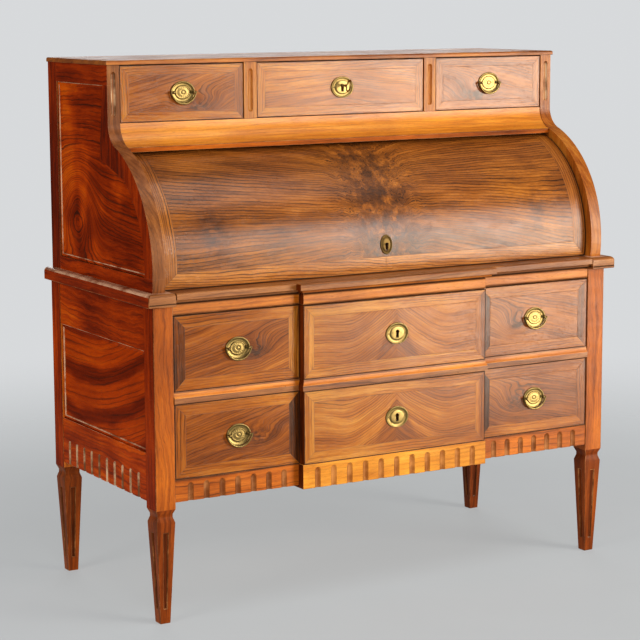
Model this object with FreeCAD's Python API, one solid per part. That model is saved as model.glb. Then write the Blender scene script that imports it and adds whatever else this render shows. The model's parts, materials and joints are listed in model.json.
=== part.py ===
import FreeCAD, Part
import math
import os

Vec = FreeCAD.Vector

# Cylinder desk in millimetres: X to the right, Y to the back, Z up.
# The origin is on the floor, under the middle of the desk's outline.

# Lower case
case_width = 1220.0            # over the corner posts
case_depth = 546.0             # front of the posts to the back
post_size = 48.0
leg_height = 259.0             # floor to the underside of the posts
post_slope_height = 11.0       # the post's lower edges slope in to the neck
neck_size = 38.0
neck_height = 7.0
collar_height = 12.0           # the neck flares out to the leg
leg_top_size = 46.0
foot_size = 25.0
leg_channel_width = 13.0       # sunk channel on each face of a leg
leg_channel_depth = 2.5
leg_channel_top = 22.0         # below the collar
leg_channel_foot = 34.0        # above the floor
face_recess = 2.0              # drawer faces behind the posts
breakfront_width = 494.0
breakfront_depth = 20.0
apron_rise = 14.0              # apron's lower edge above the posts' lower edge
apron_height = 50.0
centre_apron_drop = 6.0
centre_apron_lap = 3.0         # the middle apron is wider than the middle of the drawers
long_opening = 169.0
dividing_rail_height = 26.0
dividing_rail_nose = 4.5
dividing_rail_fascia = 12.0
top_rail_height = 22.0
top_rail_round = 6.0
front_rail_depth = 44.0
front_thickness = 22.0
ledge_height = 28.0
ledge_overhang = 18.0
ledge_round = 9.0

# Flutes
flute_width = 14.0
flute_depth = 3.5
flute_margin = 38.0            # end of a fluted run to its first flute
front_flute_top = 9.0          # under the apron's upper edge
side_flute_height = 57.0
wing_flutes = 7
middle_flutes = 11
side_flutes = 10

# Lower sides, bottom and back
side_rail_thickness = 22.0
side_rail_recess = 1.0
side_top_rail = 102.0
side_bottom_rail = 108.0
panel_thickness = 12.0
panel_recess = 6.0
bead_width = 8.0
bead_height = 3.0
back_thickness = 12.0
back_boards = 3
bottom_thickness = 18.0
runner_width = 60.0
runner_thickness = 20.0
guide_height = 28.0
bearer_width = 60.0

# Upper case
upper_inset = 4.5              # upper sides inside the posts' outer faces
upper_side_thickness = 30.0
axis_rise = 41.0               # cylinder's axis above the waist
stile_setback = 7.0            # foremost point of the curved stile behind the posts
stile_radius = 282.0
arc_end_angle = 67.3           # where the curved stile meets the cove
cove_height = 52.0
cove_depth = 40.0
frieze_recess = 1.5
frieze_top_thickness = 12.0
lip_height = 11.0
lip_clearance = 5.0            # cylinder under the lip
top_opening = 128.0
bed_thickness = 16.0
top_thickness = 10.0
top_overhang = 4.0
top_round = 4.0
upper_back_thickness = 10.0
top_middle_opening = 459.0
partition_width = 33.0
pilaster_flute_width = 12.0
pilaster_flute_depth = 4.0
pilaster_flute_end = 15.0
upper_rear_stile = 47.0
upper_top_rail = 44.0
upper_bottom_rail = 30.0
pilaster_stile = 25.0
curved_stile = 40.0
panel_step_setback = 47.0
panel_step_drop = 28.0
panel_step_angle = 53.0
field_margin = 10.0
field_bevel = 12.0
field_height = 2.0

# Cylinder, its levers and the writing slide
shell_recess = 20.0            # cylinder behind the edge of the curved stile
shell_thickness = 20.0
shell_top_angle = 81.0
shell_foot_gap = 1.0
shell_end_gap = 2.0
cheek_thickness = 16.0
cheek_hub = 23.0
cheek_edge_angle = 4.0
lever_thickness = 4.0
lever_width = 24.0
lever_length = 150.0
lever_angle = 38.0             # lever behind the plumb line while closed
lever_arm = 150.0
lever_arm_angle = 36.0
lever_gap = 0.5
pivot_plate_thickness = 3.0
pivot_radius = 5.0
pivot_clearance = 0.05
pivot_plate_size = 62.0
pivot_plate_lift = 2.0         # above the waist
drive_radius = 4.0
drive_play = 3.5               # each side, so that the slide and the cylinder keep one ratio
drive_end_play = 3.0
slot_plate_thickness = 5.0
slot_plate_margin = 10.0
slide_thickness = 22.0
slide_gap = 0.3
slide_side_gap = 1.5
slide_edge_depth = 20.0
slide_fascia = 10.0
slide_cove = 10.0
deck_gap = 41.0                # rear deck behind the slotted plates

# Pigeonholes
pigeonhole_height = 160.0
pigeonhole_front = 20.0        # behind the cylinder's axis
pigeonhole_rear_gap = 59.0     # the opened cylinder goes down behind the case
pigeonhole_board = 8.0
pigeonhole_back = 6.0
pigeonhole_end_gap = 4.0
pigeonhole_bays = 5
small_opening = 60.0

# Drawers
drawer_gap = 1.5               # round each drawer front
runner_gap = 0.3
long_box_inset = 2.5           # long drawer boxes inside the fronts' ends
long_side_height = 148.0
long_side_thickness = 12.0
long_bottom_thickness = 8.0
long_rear_gap = 12.0
top_front_thickness = 20.0
top_side_height = 112.0
top_side_thickness = 9.0
top_bottom_thickness = 6.0
top_rear_gap = 14.0
small_front_thickness = 8.0
small_wall = 6.0
small_rear_gap = 4.0
small_knob_radius = 6.0
small_knob_length = 13.0
bottom_lift = 5.0              # drawer bottoms above the lower edge of the sides

# Brass and locks
plate_width = 62.0
plate_height = 50.0
plate_rise = 3.2
plate_edge = 0.8
plate_seam_turn = 60.0         # keeps the dish's seam clear of its holes
pull_span = 50.0               # between the two posts of a pull
pull_stand = 7.0               # bail's axis in front of the drawer
pull_head_radius = 3.8
pull_stem_radius = 2.0
pull_stem_clearance = 0.1
pull_eye_slack = 0.6           # past the end of the bail's pin
pull_nut_size = 9.0
pull_nut_height = 4.0
bail_radius = 2.0
bail_half_width = 31.5
bail_drop = 26.0
bail_lug_radius = 2.4
bail_pin_radius = 1.35
bail_pin_clearance = 0.08
keyhole_radius = 3.4
keyhole_slot_width = 3.6
keyhole_drop = 11.5
cylinder_keyhole_angle = 5.3
cylinder_plate_width = 32.0
cylinder_plate_height = 46.0
lock_width = 64.0
lock_thickness = 14.0
lock_below = 26.0              # lock case below the keyhole
lock_wall = 2.0
key_shank_radius = 2.5
key_bow_width = 21.0
key_bow_height = 30.0
key_bow_wire = 1.6
key_stand = 19.0               # bow in front of the escutcheon
key_bit_length = 7.0
key_bit_drop = 9.5
key_bit_width = 2.6
key_room = 1.5
bolt_width = 18.0
bolt_thickness = 4.0
bolt_throw = 8.0
mortise_gap = 1.2
bolt_gap = 0.3
bolt_slack = 1.2               # room under the bolt at rest
key_rest_turn = 15.0           # the key stands a little turned

# Places that follow from the sizes
half_case = case_width / 2
y_back = (case_depth + ledge_overhang + breakfront_depth) / 2
y_post = y_back - case_depth
x_bay = half_case - post_size
y_bay_front = y_post + post_size
y_bay_rear = y_back - post_size
y_face = y_post + face_recess
y_back_in = y_back - back_thickness
half_break = breakfront_width / 2
x_rail_out = half_case - side_rail_recess
x_rail_in = x_rail_out - side_rail_thickness
z_apron = leg_height + apron_rise
z_lower = z_apron + apron_height
z_divide = z_lower + long_opening
z_upper = z_divide + dividing_rail_height
z_rail = z_upper + long_opening
z_ledge = z_rail + top_rail_height
z_waist = z_ledge + ledge_height
z_slide = z_waist - slide_thickness
half_upper = half_case - upper_inset
x_upper_in = half_upper - upper_side_thickness
axis_y = y_post + stile_setback + stile_radius
axis_z = z_waist + axis_rise
shell_radius = stile_radius - shell_recess
shell_inner = shell_radius - shell_thickness
z_cove = axis_z + stile_radius * math.sin(math.radians(arc_end_angle))
y_cove = axis_y - stile_radius * math.cos(math.radians(arc_end_angle))
y_top = y_cove + cove_depth
z_bed = z_cove + cove_height
z_under_top = z_bed + top_opening
y_upper_back_in = y_back - upper_back_thickness
y_top_face = y_top + face_recess
y_bed_front = y_top + frieze_recess + frieze_top_thickness
half_middle = top_middle_opening / 2
x_partition = half_middle + partition_width
half_slide = x_bay - slide_side_gap
y_slide_board = y_post + slide_edge_depth
y_drive = axis_y + lever_length * math.sin(math.radians(lever_angle))
z_drive = axis_z - lever_length * math.cos(math.radians(lever_angle))
half_slot = drive_radius + drive_play
y_deck = y_drive + half_slot + slot_plate_margin + deck_gap
pigeonhole_depth = y_upper_back_in - pigeonhole_rear_gap - axis_y - pigeonhole_front
x_pivot_plate = x_upper_in - pivot_plate_thickness
x_lever_out = x_pivot_plate - lever_gap
x_lever_in = x_lever_out - lever_thickness
x_cheek_in = x_lever_in - cheek_thickness
half_pigeonhole = x_cheek_in - pigeonhole_end_gap
z_top_mid = z_bed + top_opening / 2
key_offset = (keyhole_drop - keyhole_radius) / 2
z_top_key = z_top_mid + key_offset


def box(x0, x1, y0, y1, z0, z1):
    return Part.makeBox(x1 - x0, y1 - y0, z1 - z0, Vec(x0, y0, z0))


def outline(points, place):
    # A point of four numbers is an arc through its first pair to its second.
    edges = []
    here = place(points[0][0], points[0][1])
    for point in points[1:] + points[:1]:
        there = place(point[-2], point[-1])
        if len(point) == 4:
            edges.append(Part.Arc(here, place(point[0], point[1]), there).toShape())
        else:
            edges.append(Part.LineSegment(here, there).toShape())
        here = there
    return Part.Face(Part.Wire(edges))


def along_x(points, x0, x1):
    return outline(points, lambda y, z: Vec(x0, y, z)).extrude(Vec(x1 - x0, 0, 0))


def along_y(points, y0, y1):
    return outline(points, lambda x, z: Vec(x, y0, z)).extrude(Vec(0, y1 - y0, 0))


def mirrored(shape):
    return shape.mirror(Vec(0, 0, 0), Vec(1, 0, 0))


def pair(right):
    return [mirrored(right), right]


def cut_all(shape, cutters):
    return shape.cut(Part.Compound(cutters)) if cutters else shape


def round_point(centre_a, centre_b, radius, degrees):
    turn = math.radians(degrees)
    return (centre_a + radius * math.cos(turn), centre_b + radius * math.sin(turn))


def on_cylinder(radius, degrees):
    turn = math.radians(degrees)
    return (axis_y - radius * math.cos(turn), axis_z + radius * math.sin(turn))


def swung(shape, degrees):
    turned = shape.copy()
    turned.rotate(Vec(0, axis_y, axis_z), Vec(-1, 0, 0), degrees)
    return turned


def flute_cutter(z0, z1, width, depth, open_foot):
    # A round-ended groove on the Z axis, for a face that lies at Y = 0 and looks towards -Y.
    radius = (width * width / 4 + depth * depth) / (2 * depth)
    y_centre = depth - radius
    foot = z0 - 1.0 if open_foot else z0 + width / 2
    head = z1 - width / 2
    cutter = Part.makeCylinder(radius, head - foot, Vec(0, y_centre, foot))
    cutter = cutter.fuse(Part.makeSphere(radius, Vec(0, y_centre, head)))
    if not open_foot:
        cutter = cutter.fuse(Part.makeSphere(radius, Vec(0, y_centre, foot)))
    return cutter


def spaced(start, end, count, margin):
    pitch = (end - start - 2 * margin) / (count - 1)
    return [start + margin + pitch * i for i in range(count)]


def square_wire(size, x, y, z):
    h = size / 2
    corners = [(-h, -h), (h, -h), (h, h), (-h, h), (-h, -h)]
    return Part.makePolygon([Vec(x + a, y + b, z) for a, b in corners])


def leg_channel(leg_top):
    # Tapered sunk channel on the leg's front face.
    def rectangle(z):
        half = (foot_size + (leg_top_size - foot_size) * z / leg_top) / 2
        side = leg_channel_width * half / leg_top_size
        front = -half - leg_channel_depth
        rear = -half + leg_channel_depth
        corners = [(-side, front), (side, front), (side, rear), (-side, rear), (-side, front)]
        return Part.makePolygon([Vec(a, b, z) for a, b in corners])

    ends = [rectangle(leg_channel_foot), rectangle(leg_top - leg_channel_top)]
    return Part.makeLoft(ends, True, True)


def corner_post(x, y):
    z_neck_top = leg_height - post_slope_height
    z_neck_foot = z_neck_top - neck_height
    leg_top = z_neck_foot - collar_height
    levels = [
        (foot_size, 0.0),
        (leg_top_size, leg_top),
        (neck_size, z_neck_foot),
        (neck_size, z_neck_top),
        (post_size, leg_height),
        (post_size, z_ledge),
    ]
    post = Part.makeLoft([square_wire(size, 0, 0, z) for size, z in levels], True, True)
    channels = []
    for quarter in range(4):
        channel = leg_channel(leg_top)
        channel.rotate(Vec(0, 0, 0), Vec(0, 0, 1), 90 * quarter)
        channels.append(channel)
    post = cut_all(post, channels)
    post.translate(Vec(x, y, 0))
    return post


def side_rails():
    # Upper and lower rail of the right lower side, the lower one fluted.
    upper = box(x_rail_in, x_rail_out, y_bay_front, y_bay_rear, z_ledge - side_top_rail, z_ledge)
    lower = box(x_rail_in, x_rail_out, y_bay_front, y_bay_rear, z_apron, z_apron + side_bottom_rail)
    flutes = []
    for y in spaced(y_bay_front, y_bay_rear, side_flutes, flute_margin):
        flute = flute_cutter(z_apron, z_apron + side_flute_height, flute_width, flute_depth, True)
        flute.rotate(Vec(0, 0, 0), Vec(0, 0, 1), 90)
        flute.translate(Vec(x_rail_out, y, 0))
        flutes.append(flute)
    return [upper, cut_all(lower, flutes)]


def top_loop(shape, x):
    # Edges of a moulding that lie wholly on its outer face.
    return [e for e in shape.Edges if all(abs(v.X - x) < 1e-6 for v in e.Vertexes)]


def beaded_panel(points, x_face):
    # Sunk panel with a rounded bead along its edge.
    face = outline(points, lambda y, z: Vec(x_face, y, z))
    board = face.extrude(Vec(-panel_thickness, 0, 0))
    inner = Part.Face(face.OuterWire.makeOffset2D(-bead_width, 2))
    bead = face.cut(inner).extrude(Vec(bead_height, 0, 0))
    bead = bead.makeFillet(bead_height * 0.9, top_loop(bead, x_face + bead_height))
    return board.fuse(bead)


def lower_side_panel():
    low = z_apron + side_bottom_rail
    high = z_ledge - side_top_rail
    points = [(y_bay_front, low), (y_bay_rear, low), (y_bay_rear, high), (y_bay_front, high)]
    return beaded_panel(points, x_rail_out - panel_recess)


def stacked_boards(x, y0, y1, z0, z1, count):
    height = (z1 - z0) / count
    return [box(-x, x, y0, y1, z0 + i * height, z0 + (i + 1) * height) for i in range(count)]


def breakfront(profile, y_plane, y_rear, half_full, half_middle_part):
    # A rail whose middle stands forward. The profile runs upwards as (out from the plane, height), and the
    # moulding returns round the ends of the middle part.
    z_low = profile[0][-1]
    z_high = profile[-1][-1]

    def facing(plane):
        front = [tuple(plane - v if i % 2 == 0 else v for i, v in enumerate(p)) for p in profile]
        return [(y_rear, z_low)] + front + [(y_rear, z_high)]

    ends = [tuple(half_middle_part + v if i % 2 == 0 else v for i, v in enumerate(p)) for p in profile]
    end_cut = along_y([(-half_full, z_low)] + ends + [(-half_full, z_high)], y_plane - case_depth, y_rear)
    wings = along_x(facing(y_plane), -half_full, half_full)
    middle = along_x(facing(y_plane - breakfront_depth), -half_full, half_full)
    middle = middle.common(end_cut).common(mirrored(end_cut))
    return wings.fuse(middle).removeSplitter()


def front_top_rail():
    high = z_slide - slide_gap
    mid = round_point(-top_rail_round, high - top_rail_round, top_rail_round, 45)
    profile = [(0, z_rail), (0, high - top_rail_round), mid + (-top_rail_round, high)]
    return breakfront(profile, y_face, y_post + front_rail_depth, x_bay, half_break)


def drawer_dividing_rail():
    # A fascia that stands proud, hollowed back above to the drawer face.
    rise = dividing_rail_height - dividing_rail_fascia
    hollow = (dividing_rail_nose * 0.33, z_upper - rise * 0.6)
    profile = [
        (0, z_divide),
        (dividing_rail_nose, z_divide),
        (dividing_rail_nose, z_divide + dividing_rail_fascia),
        hollow + (0, z_upper),
    ]
    return breakfront(profile, y_face, y_post + front_rail_depth, x_bay, half_break)


def apron(x0, x1, y_front, z0, count):
    board = box(x0, x1, y_front, y_face + front_thickness, z0, z_lower)
    flutes = []
    for x in spaced(x0, x1, count, flute_margin):
        flute = flute_cutter(z0, z_lower - front_flute_top, flute_width, flute_depth, True)
        flute.translate(Vec(x, y_front, 0))
        flutes.append(flute)
    return cut_all(board, flutes)


def front_aprons():
    half = half_break + centre_apron_lap
    wing = apron(half, x_bay, y_face, z_apron, wing_flutes)
    middle = apron(-half, half, y_face - breakfront_depth, z_apron - centre_apron_drop, middle_flutes)
    return [mirrored(wing), middle, wing]


def bottom_board():
    z0 = z_lower - bottom_thickness
    y_front = y_face + front_thickness
    board = box(-x_rail_in, x_rail_in, y_front, y_back_in, z0, z_lower)
    notch = [
        box(x_bay, x_rail_in + 1, y_front - 1, y_bay_front, z0 - 1, z_lower + 1),
        box(x_bay, x_rail_in + 1, y_bay_rear, y_back_in + 1, z0 - 1, z_lower + 1),
    ]
    return cut_all(board, notch + [mirrored(n) for n in notch])


def long_drawer_runners():
    # A runner each side under the upper drawer, and a guide beside each long drawer.
    x_guide = x_bay - drawer_gap - long_box_inset + runner_gap
    y_rail = y_post + front_rail_depth
    runner = box(x_rail_in - runner_width, x_rail_in, y_rail, y_back_in, z_upper - runner_thickness, z_upper)
    posts = [
        box(x_bay, half_case, y_post, y_bay_front, z_lower, z_ledge),
        box(x_bay, half_case, y_bay_rear, y_back, z_lower, z_ledge),
    ]
    runner = cut_all(runner, posts)
    guides = []
    for z in (z_lower, z_upper):
        guides += pair(box(x_guide, x_rail_in, y_bay_front, y_bay_rear, z, z + guide_height))
    return pair(runner) + guides


def waist_ledge():
    # Right ledge: a strip along the side, with a block over the front post.
    out = half_case + ledge_overhang
    y_front = y_post - ledge_overhang
    z_round = z_waist - ledge_round
    side_mid = round_point(out - ledge_round, z_round, ledge_round, 45)
    side = [
        (x_bay, z_ledge),
        (out, z_ledge),
        (out, z_round),
        side_mid + (out - ledge_round, z_waist),
        (x_bay, z_waist),
    ]
    front_mid = round_point(y_front + ledge_round, z_round, ledge_round, 135)
    front = [
        (y_back, z_ledge),
        (y_front, z_ledge),
        (y_front, z_round),
        front_mid + (y_front + ledge_round, z_waist),
        (y_back, z_waist),
    ]
    ledge = along_y(side, y_front, y_back).common(along_x(front, x_bay, out))
    return ledge.cut(box(x_bay - 1, x_upper_in, y_bay_front, y_back + 1, z_ledge - 1, z_waist + 1))


def slide_bearers():
    y_front = y_post + front_rail_depth
    z_high = z_slide - slide_gap
    x_out = half_slide - long_box_inset
    side = box(x_out - bearer_width, x_out, y_front, y_back_in, z_rail, z_high)
    middle = box(-bearer_width / 2, bearer_width / 2, y_front, y_back_in, z_rail, z_high)
    return [mirrored(side), middle, side]


def rear_deck():
    return box(-x_upper_in, x_upper_in, y_deck, y_back_in, z_slide, z_waist + slide_gap)


def side_profile():
    # Outline of an upper side: pilaster, hollow cove and quarter-round stile.
    foot_angle = math.degrees(math.asin(-axis_rise / stile_radius))
    cove_radius = (cove_depth ** 2 + cove_height ** 2) / (2 * cove_depth)
    cove_turn = math.degrees(math.asin(cove_height / cove_radius))
    cove_mid = round_point(y_top - cove_radius, z_bed, cove_radius, -cove_turn / 2)
    return [
        (y_back, z_waist),
        (y_back, z_under_top),
        (y_top, z_under_top),
        (y_top, z_bed),
        cove_mid + (y_cove, z_cove),
        on_cylinder(stile_radius, (arc_end_angle + foot_angle) / 2) + on_cylinder(stile_radius, foot_angle),
    ]


def upper_panel_points():
    # Opening in an upper side. Its front edge falls behind the pilaster, steps out and follows the stile.
    radius = stile_radius - curved_stile
    low = z_waist + upper_bottom_rail
    high = z_under_top - upper_top_rail
    foot_angle = math.degrees(math.asin((low - axis_z) / radius))
    return [
        (y_back - upper_rear_stile, low),
        (y_back - upper_rear_stile, high),
        (y_top + pilaster_stile, high),
        (y_top + panel_step_setback, z_cove - panel_step_drop),
        on_cylinder(radius, panel_step_angle),
        on_cylinder(radius, (panel_step_angle + foot_angle) / 2) + on_cylinder(radius, foot_angle),
    ]


def pilaster_flute(x):
    flute = flute_cutter(
        z_bed + pilaster_flute_end,
        z_under_top - pilaster_flute_end,
        pilaster_flute_width,
        pilaster_flute_depth,
        False,
    )
    flute.translate(Vec(x, y_top, 0))
    return flute


def upper_side_frame():
    # Right upper side, cut at its joints into rear stile, top rail, bottom rail and shaped front stile.
    whole = along_x(side_profile(), x_upper_in, half_upper)
    opening = along_x(upper_panel_points(), x_upper_in - 1, half_upper + 1)
    whole = cut_all(whole, [opening, pilaster_flute((x_upper_in + half_upper) / 2)])
    y_stile = y_back - upper_rear_stile
    z_low = z_waist + upper_bottom_rail
    z_high = z_under_top - upper_top_rail
    limits = [
        (y_stile, y_back, z_waist, z_under_top),
        (y_post, y_stile, z_high, z_under_top),
        (y_post, y_stile, z_waist, z_low),
        (y_post, y_stile, z_low, z_high),
    ]
    return [whole.common(box(x_upper_in, half_upper, *limit)) for limit in limits]


def upper_side_panel():
    x_face = half_upper - panel_recess
    points = upper_panel_points()
    panel = beaded_panel(points, x_face)
    edge = outline(points, lambda y, z: Vec(x_face, y, z)).OuterWire
    foot = edge.makeOffset2D(-bead_width - field_margin, 2)
    head = edge.makeOffset2D(-bead_width - field_margin - field_bevel, 2)
    head.translate(Vec(field_height, 0, 0))
    return panel.fuse(Part.makeLoft([foot, head], True, True))


def cove_frieze():
    cove_radius = (cove_depth ** 2 + cove_height ** 2) / (2 * cove_depth)
    cove_turn = math.degrees(math.asin(cove_height / cove_radius))
    y_head = y_top + frieze_recess
    y_foot = y_cove + frieze_recess
    mid = round_point(y_head - cove_radius, z_bed, cove_radius, -cove_turn / 2)
    z_lip = z_cove - lip_height
    reach = shell_radius + lip_clearance
    y_lip_rear = axis_y - math.sqrt(reach ** 2 - (z_lip - axis_z) ** 2)
    points = [
        (y_bed_front, z_bed),
        (y_head, z_bed),
        mid + (y_foot, z_cove),
        (y_foot, z_lip),
        (y_lip_rear, z_lip),
        (y_lip_rear, z_cove),
        (y_bed_front, z_bed - bed_thickness),
    ]
    return along_x(points, -x_upper_in, x_upper_in)


def top_drawer_bed():
    return box(-x_upper_in, x_upper_in, y_bed_front, y_upper_back_in, z_bed - bed_thickness, z_bed)


def top_partition():
    board = box(half_middle, x_partition, y_top, y_upper_back_in, z_bed, z_under_top)
    return board.cut(pilaster_flute((half_middle + x_partition) / 2))


def top_board():
    half = half_upper + top_overhang
    y_front = y_top - top_overhang
    z_high = z_under_top + top_thickness
    z_round = z_high - top_round
    side_mid = round_point(half - top_round, z_round, top_round, 45)
    right = [
        (-half, z_under_top),
        (half, z_under_top),
        (half, z_round),
        side_mid + (half - top_round, z_high),
        (-half, z_high),
    ]
    front_mid = round_point(y_front + top_round, z_round, top_round, 135)
    front = [
        (y_back, z_under_top),
        (y_front, z_under_top),
        (y_front, z_round),
        front_mid + (y_front + top_round, z_high),
        (y_back, z_high),
    ]
    end = along_y(right, y_front, y_back)
    board = along_x(front, -half, half).common(end).common(mirrored(end))
    mortise = bolt_box(mortise_gap, 0)
    mortise.translate(Vec(0, 0, bolt_throw))
    return board.cut(mortise)


def pigeonhole_case():
    half = half_pigeonhole
    y0 = axis_y + pigeonhole_front
    y1 = y0 + pigeonhole_depth
    z0 = z_waist + slide_gap
    z1 = z0 + pigeonhole_height
    board = pigeonhole_board
    boards = [
        box(-half, half, y0, y1, z0, z0 + board),
        box(-half, half, y0, y1, z1 - board, z1),
        box(-half, half, y1 - pigeonhole_back, y1, z0 + board, z1 - board),
    ]
    for i in range(pigeonhole_bays + 1):
        x = pigeonhole_upright(i)
        boards.append(box(x, x + board, y0, y1 - pigeonhole_back, z0 + board, z1 - board))
    z_shelf = z0 + board + small_opening
    for i in (0, 1, pigeonhole_bays - 2, pigeonhole_bays - 1):
        x_left = pigeonhole_upright(i) + board
        x_right = pigeonhole_upright(i + 1)
        boards.append(box(x_left, x_right, y0, y1 - pigeonhole_back, z_shelf, z_shelf + board))
    return boards


def pigeonhole_upright(i):
    return -half_pigeonhole + (2 * half_pigeonhole - pigeonhole_board) * i / pigeonhole_bays


def pivot_plate():
    # Iron plate on the inside of the right upper side, with the pin that the cylinder turns on.
    half = pivot_plate_size / 2
    z0 = z_waist + pivot_plate_lift
    plate = box(x_pivot_plate, x_upper_in, axis_y - half, axis_y + half, z0, z0 + pivot_plate_size)
    length = x_pivot_plate - x_cheek_in
    pin = Part.makeCylinder(pivot_radius, length, Vec(x_cheek_in, axis_y, axis_z), Vec(1, 0, 0))
    return plate.fuse(pin)


def keyhole(y0, y1, z):
    bore = Part.makeCylinder(keyhole_radius, y1 - y0, Vec(0, y0, z), Vec(0, 1, 0))
    half = keyhole_slot_width / 2
    return bore.fuse(box(-half, half, y0, y1, z - keyhole_drop, z))


def cylinder_shell():
    z_foot = z_waist + shell_foot_gap
    outer = math.degrees(math.asin((z_foot - axis_z) / shell_radius))
    inner = math.degrees(math.asin((z_foot - axis_z) / shell_inner))
    points = [
        on_cylinder(shell_inner, inner),
        on_cylinder(shell_radius, outer),
        on_cylinder(shell_radius, (outer + shell_top_angle) / 2) + on_cylinder(shell_radius, shell_top_angle),
        on_cylinder(shell_inner, shell_top_angle),
    ]
    closing = on_cylinder(shell_inner, (inner + shell_top_angle) / 2) + points[0]
    half = x_upper_in - shell_end_gap
    shell = along_x(points[1:] + [closing], -half, half)
    y_front = axis_y - shell_radius
    hole = keyhole(y_front - shell_thickness, y_front + shell_thickness * 1.5, axis_z)
    return shell.cut(swung(hole, cylinder_keyhole_angle))


def cylinder_cheek():
    # Right cheek: a sector from the hub to the inside of the shell.
    x0 = x_cheek_in
    low = math.degrees(math.asin((z_waist + shell_foot_gap - axis_z) / shell_inner)) + cheek_edge_angle
    high = shell_top_angle - cheek_edge_angle
    points = [
        on_cylinder(shell_inner, low),
        on_cylinder(shell_inner, (low + high) / 2) + on_cylinder(shell_inner, high),
        on_cylinder(cheek_hub, 90.0),
        on_cylinder(cheek_hub, 180.0) + on_cylinder(cheek_hub, 270.0),
    ]
    cheek = along_x(points, x0, x0 + cheek_thickness)
    radius = pivot_radius + pivot_clearance
    bore = Part.makeCylinder(radius, cheek_thickness + 2, Vec(x0 - 1, axis_y, axis_z), Vec(1, 0, 0))
    return cheek.cut(bore)


def strap(x0, y0, z0, y1, z1):
    # Flat bar with round ends, from one eye to the other.
    length = math.hypot(y1 - y0, z1 - z0)
    half = lever_width / 2
    eyes = [
        Part.makeCylinder(half, lever_thickness, Vec(x0, y, z), Vec(1, 0, 0))
        for y, z in ((y0, z0), (y1, z1))
    ]
    bar = box(x0, x0 + lever_thickness, y0, y0 + length, z0 - half, z0 + half)
    bar.rotate(Vec(x0, y0, z0), Vec(1, 0, 0), math.degrees(math.atan2(z1 - z0, y1 - y0)))
    return bar.fuse(eyes)


def cylinder_lever():
    # Right bell crank: one arm on the cheek, the other down to the slide's slotted plate.
    x0 = x_lever_in
    y_arm, z_arm = on_cylinder(lever_arm, lever_arm_angle)
    crank = strap(x0, axis_y, axis_z, y_arm, z_arm).fuse(strap(x0, axis_y, axis_z, y_drive, z_drive))
    pin = Part.makeCylinder(drive_radius, x0 - half_slide, Vec(half_slide, y_drive, z_drive), Vec(1, 0, 0))
    radius = pivot_radius + pivot_clearance
    bore = Part.makeCylinder(radius, lever_thickness + 2, Vec(x0 - 1, axis_y, axis_z), Vec(1, 0, 0))
    return crank.fuse(pin).cut(bore).removeSplitter()


def slide_slot_plate():
    # Right iron plate on the slide's edge; the lever's pin works in its upright slot.
    z_low = axis_z - lever_length - drive_radius - drive_end_play
    z_high = z_drive + drive_radius + drive_end_play
    half = half_slot + slot_plate_margin
    x1 = half_slide + slot_plate_thickness
    plate = box(half_slide, x1, y_drive - half, y_drive + half, z_low - slot_plate_margin, z_waist)
    return plate.cut(box(half_slide - 1, x1 + 1, y_drive - half_slot, y_drive + half_slot, z_low, z_high))


def writing_slide_board():
    return box(-half_slide, half_slide, y_slide_board, y_deck - slide_side_gap, z_slide, z_waist)


def slide_front_edge():
    # Fascia with an eased upper edge, hollowed back underneath.
    out = ledge_overhang
    z_fascia = z_waist - ledge_round / 2 - slide_fascia
    ease = ledge_round / 2
    cove_mid = (out - slide_cove * 0.75, z_fascia - (z_fascia - z_slide) * 0.25)
    ease_mid = round_point(out - ease, z_waist - ease, ease, 45)
    profile = [
        (out - slide_cove, z_slide),
        cove_mid + (out, z_fascia),
        (out, z_waist - ease),
        ease_mid + (out - ease, z_waist),
    ]
    return breakfront(profile, y_post, y_slide_board, half_slide, half_break)


def oval_plate(x, y, z, width, height, keyed):
    # Turned dish with a raised rim and a domed middle, drawn out to an oval. Its back lies on Y = y.
    r = width / 2
    rise = plate_rise
    points = [
        (0, 0),
        (r, 0),
        (r, -plate_edge),
        (r * 0.93, -rise * 0.75) + (r * 0.83, -rise * 0.8),
        (r * 0.70, -rise * 0.36),
        (r * 0.62, -rise * 0.36),
        (r * 0.35, -rise * 0.88) + (0, -rise),
    ]
    half = outline(points, lambda a, b: Vec(a, b, 0))
    dish = half.revolve(Vec(0, 0, 0), Vec(0, 1, 0), 360)
    dish.rotate(Vec(0, 0, 0), Vec(0, 1, 0), plate_seam_turn)
    oval = FreeCAD.Matrix()
    oval.scale(1.0, 1.0, height / width)
    dish = dish.transformGeometry(oval)
    dish.translate(Vec(x, y, z))
    if keyed:
        dish = dish.cut(keyhole(y - rise - 1, y + 1, z + key_offset))
    return dish


def cylinder_escutcheon():
    y_front = axis_y - shell_radius
    sag = (cylinder_plate_height / 2) ** 2 / (2 * shell_radius)
    plate = oval_plate(0, y_front + sag, axis_z, cylinder_plate_width, cylinder_plate_height, False)
    plate = plate.cut(keyhole(y_front - plate_rise - 1, y_front + sag + 1, axis_z))
    half = cylinder_plate_width
    seat = Part.makeCylinder(shell_radius, half * 2, Vec(-half, axis_y, axis_z), Vec(1, 0, 0))
    return swung(plate.cut(seat), cylinder_keyhole_angle)


def cylinder_lock():
    # Lock case let against the inside of the shell.
    y_inside = axis_y - shell_inner
    half = lock_width / 2
    y_front = y_inside - lock_thickness
    case = box(-half, half, y_front, y_inside + lock_thickness, axis_z - lock_below, axis_z + lock_below)
    room = Part.makeCylinder(shell_inner, lock_width, Vec(-half, axis_y, axis_z), Vec(1, 0, 0))
    case = case.common(room).cut(keyhole(y_front, y_inside + lock_thickness - lock_wall, axis_z))
    return swung(case, cylinder_keyhole_angle)


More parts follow.
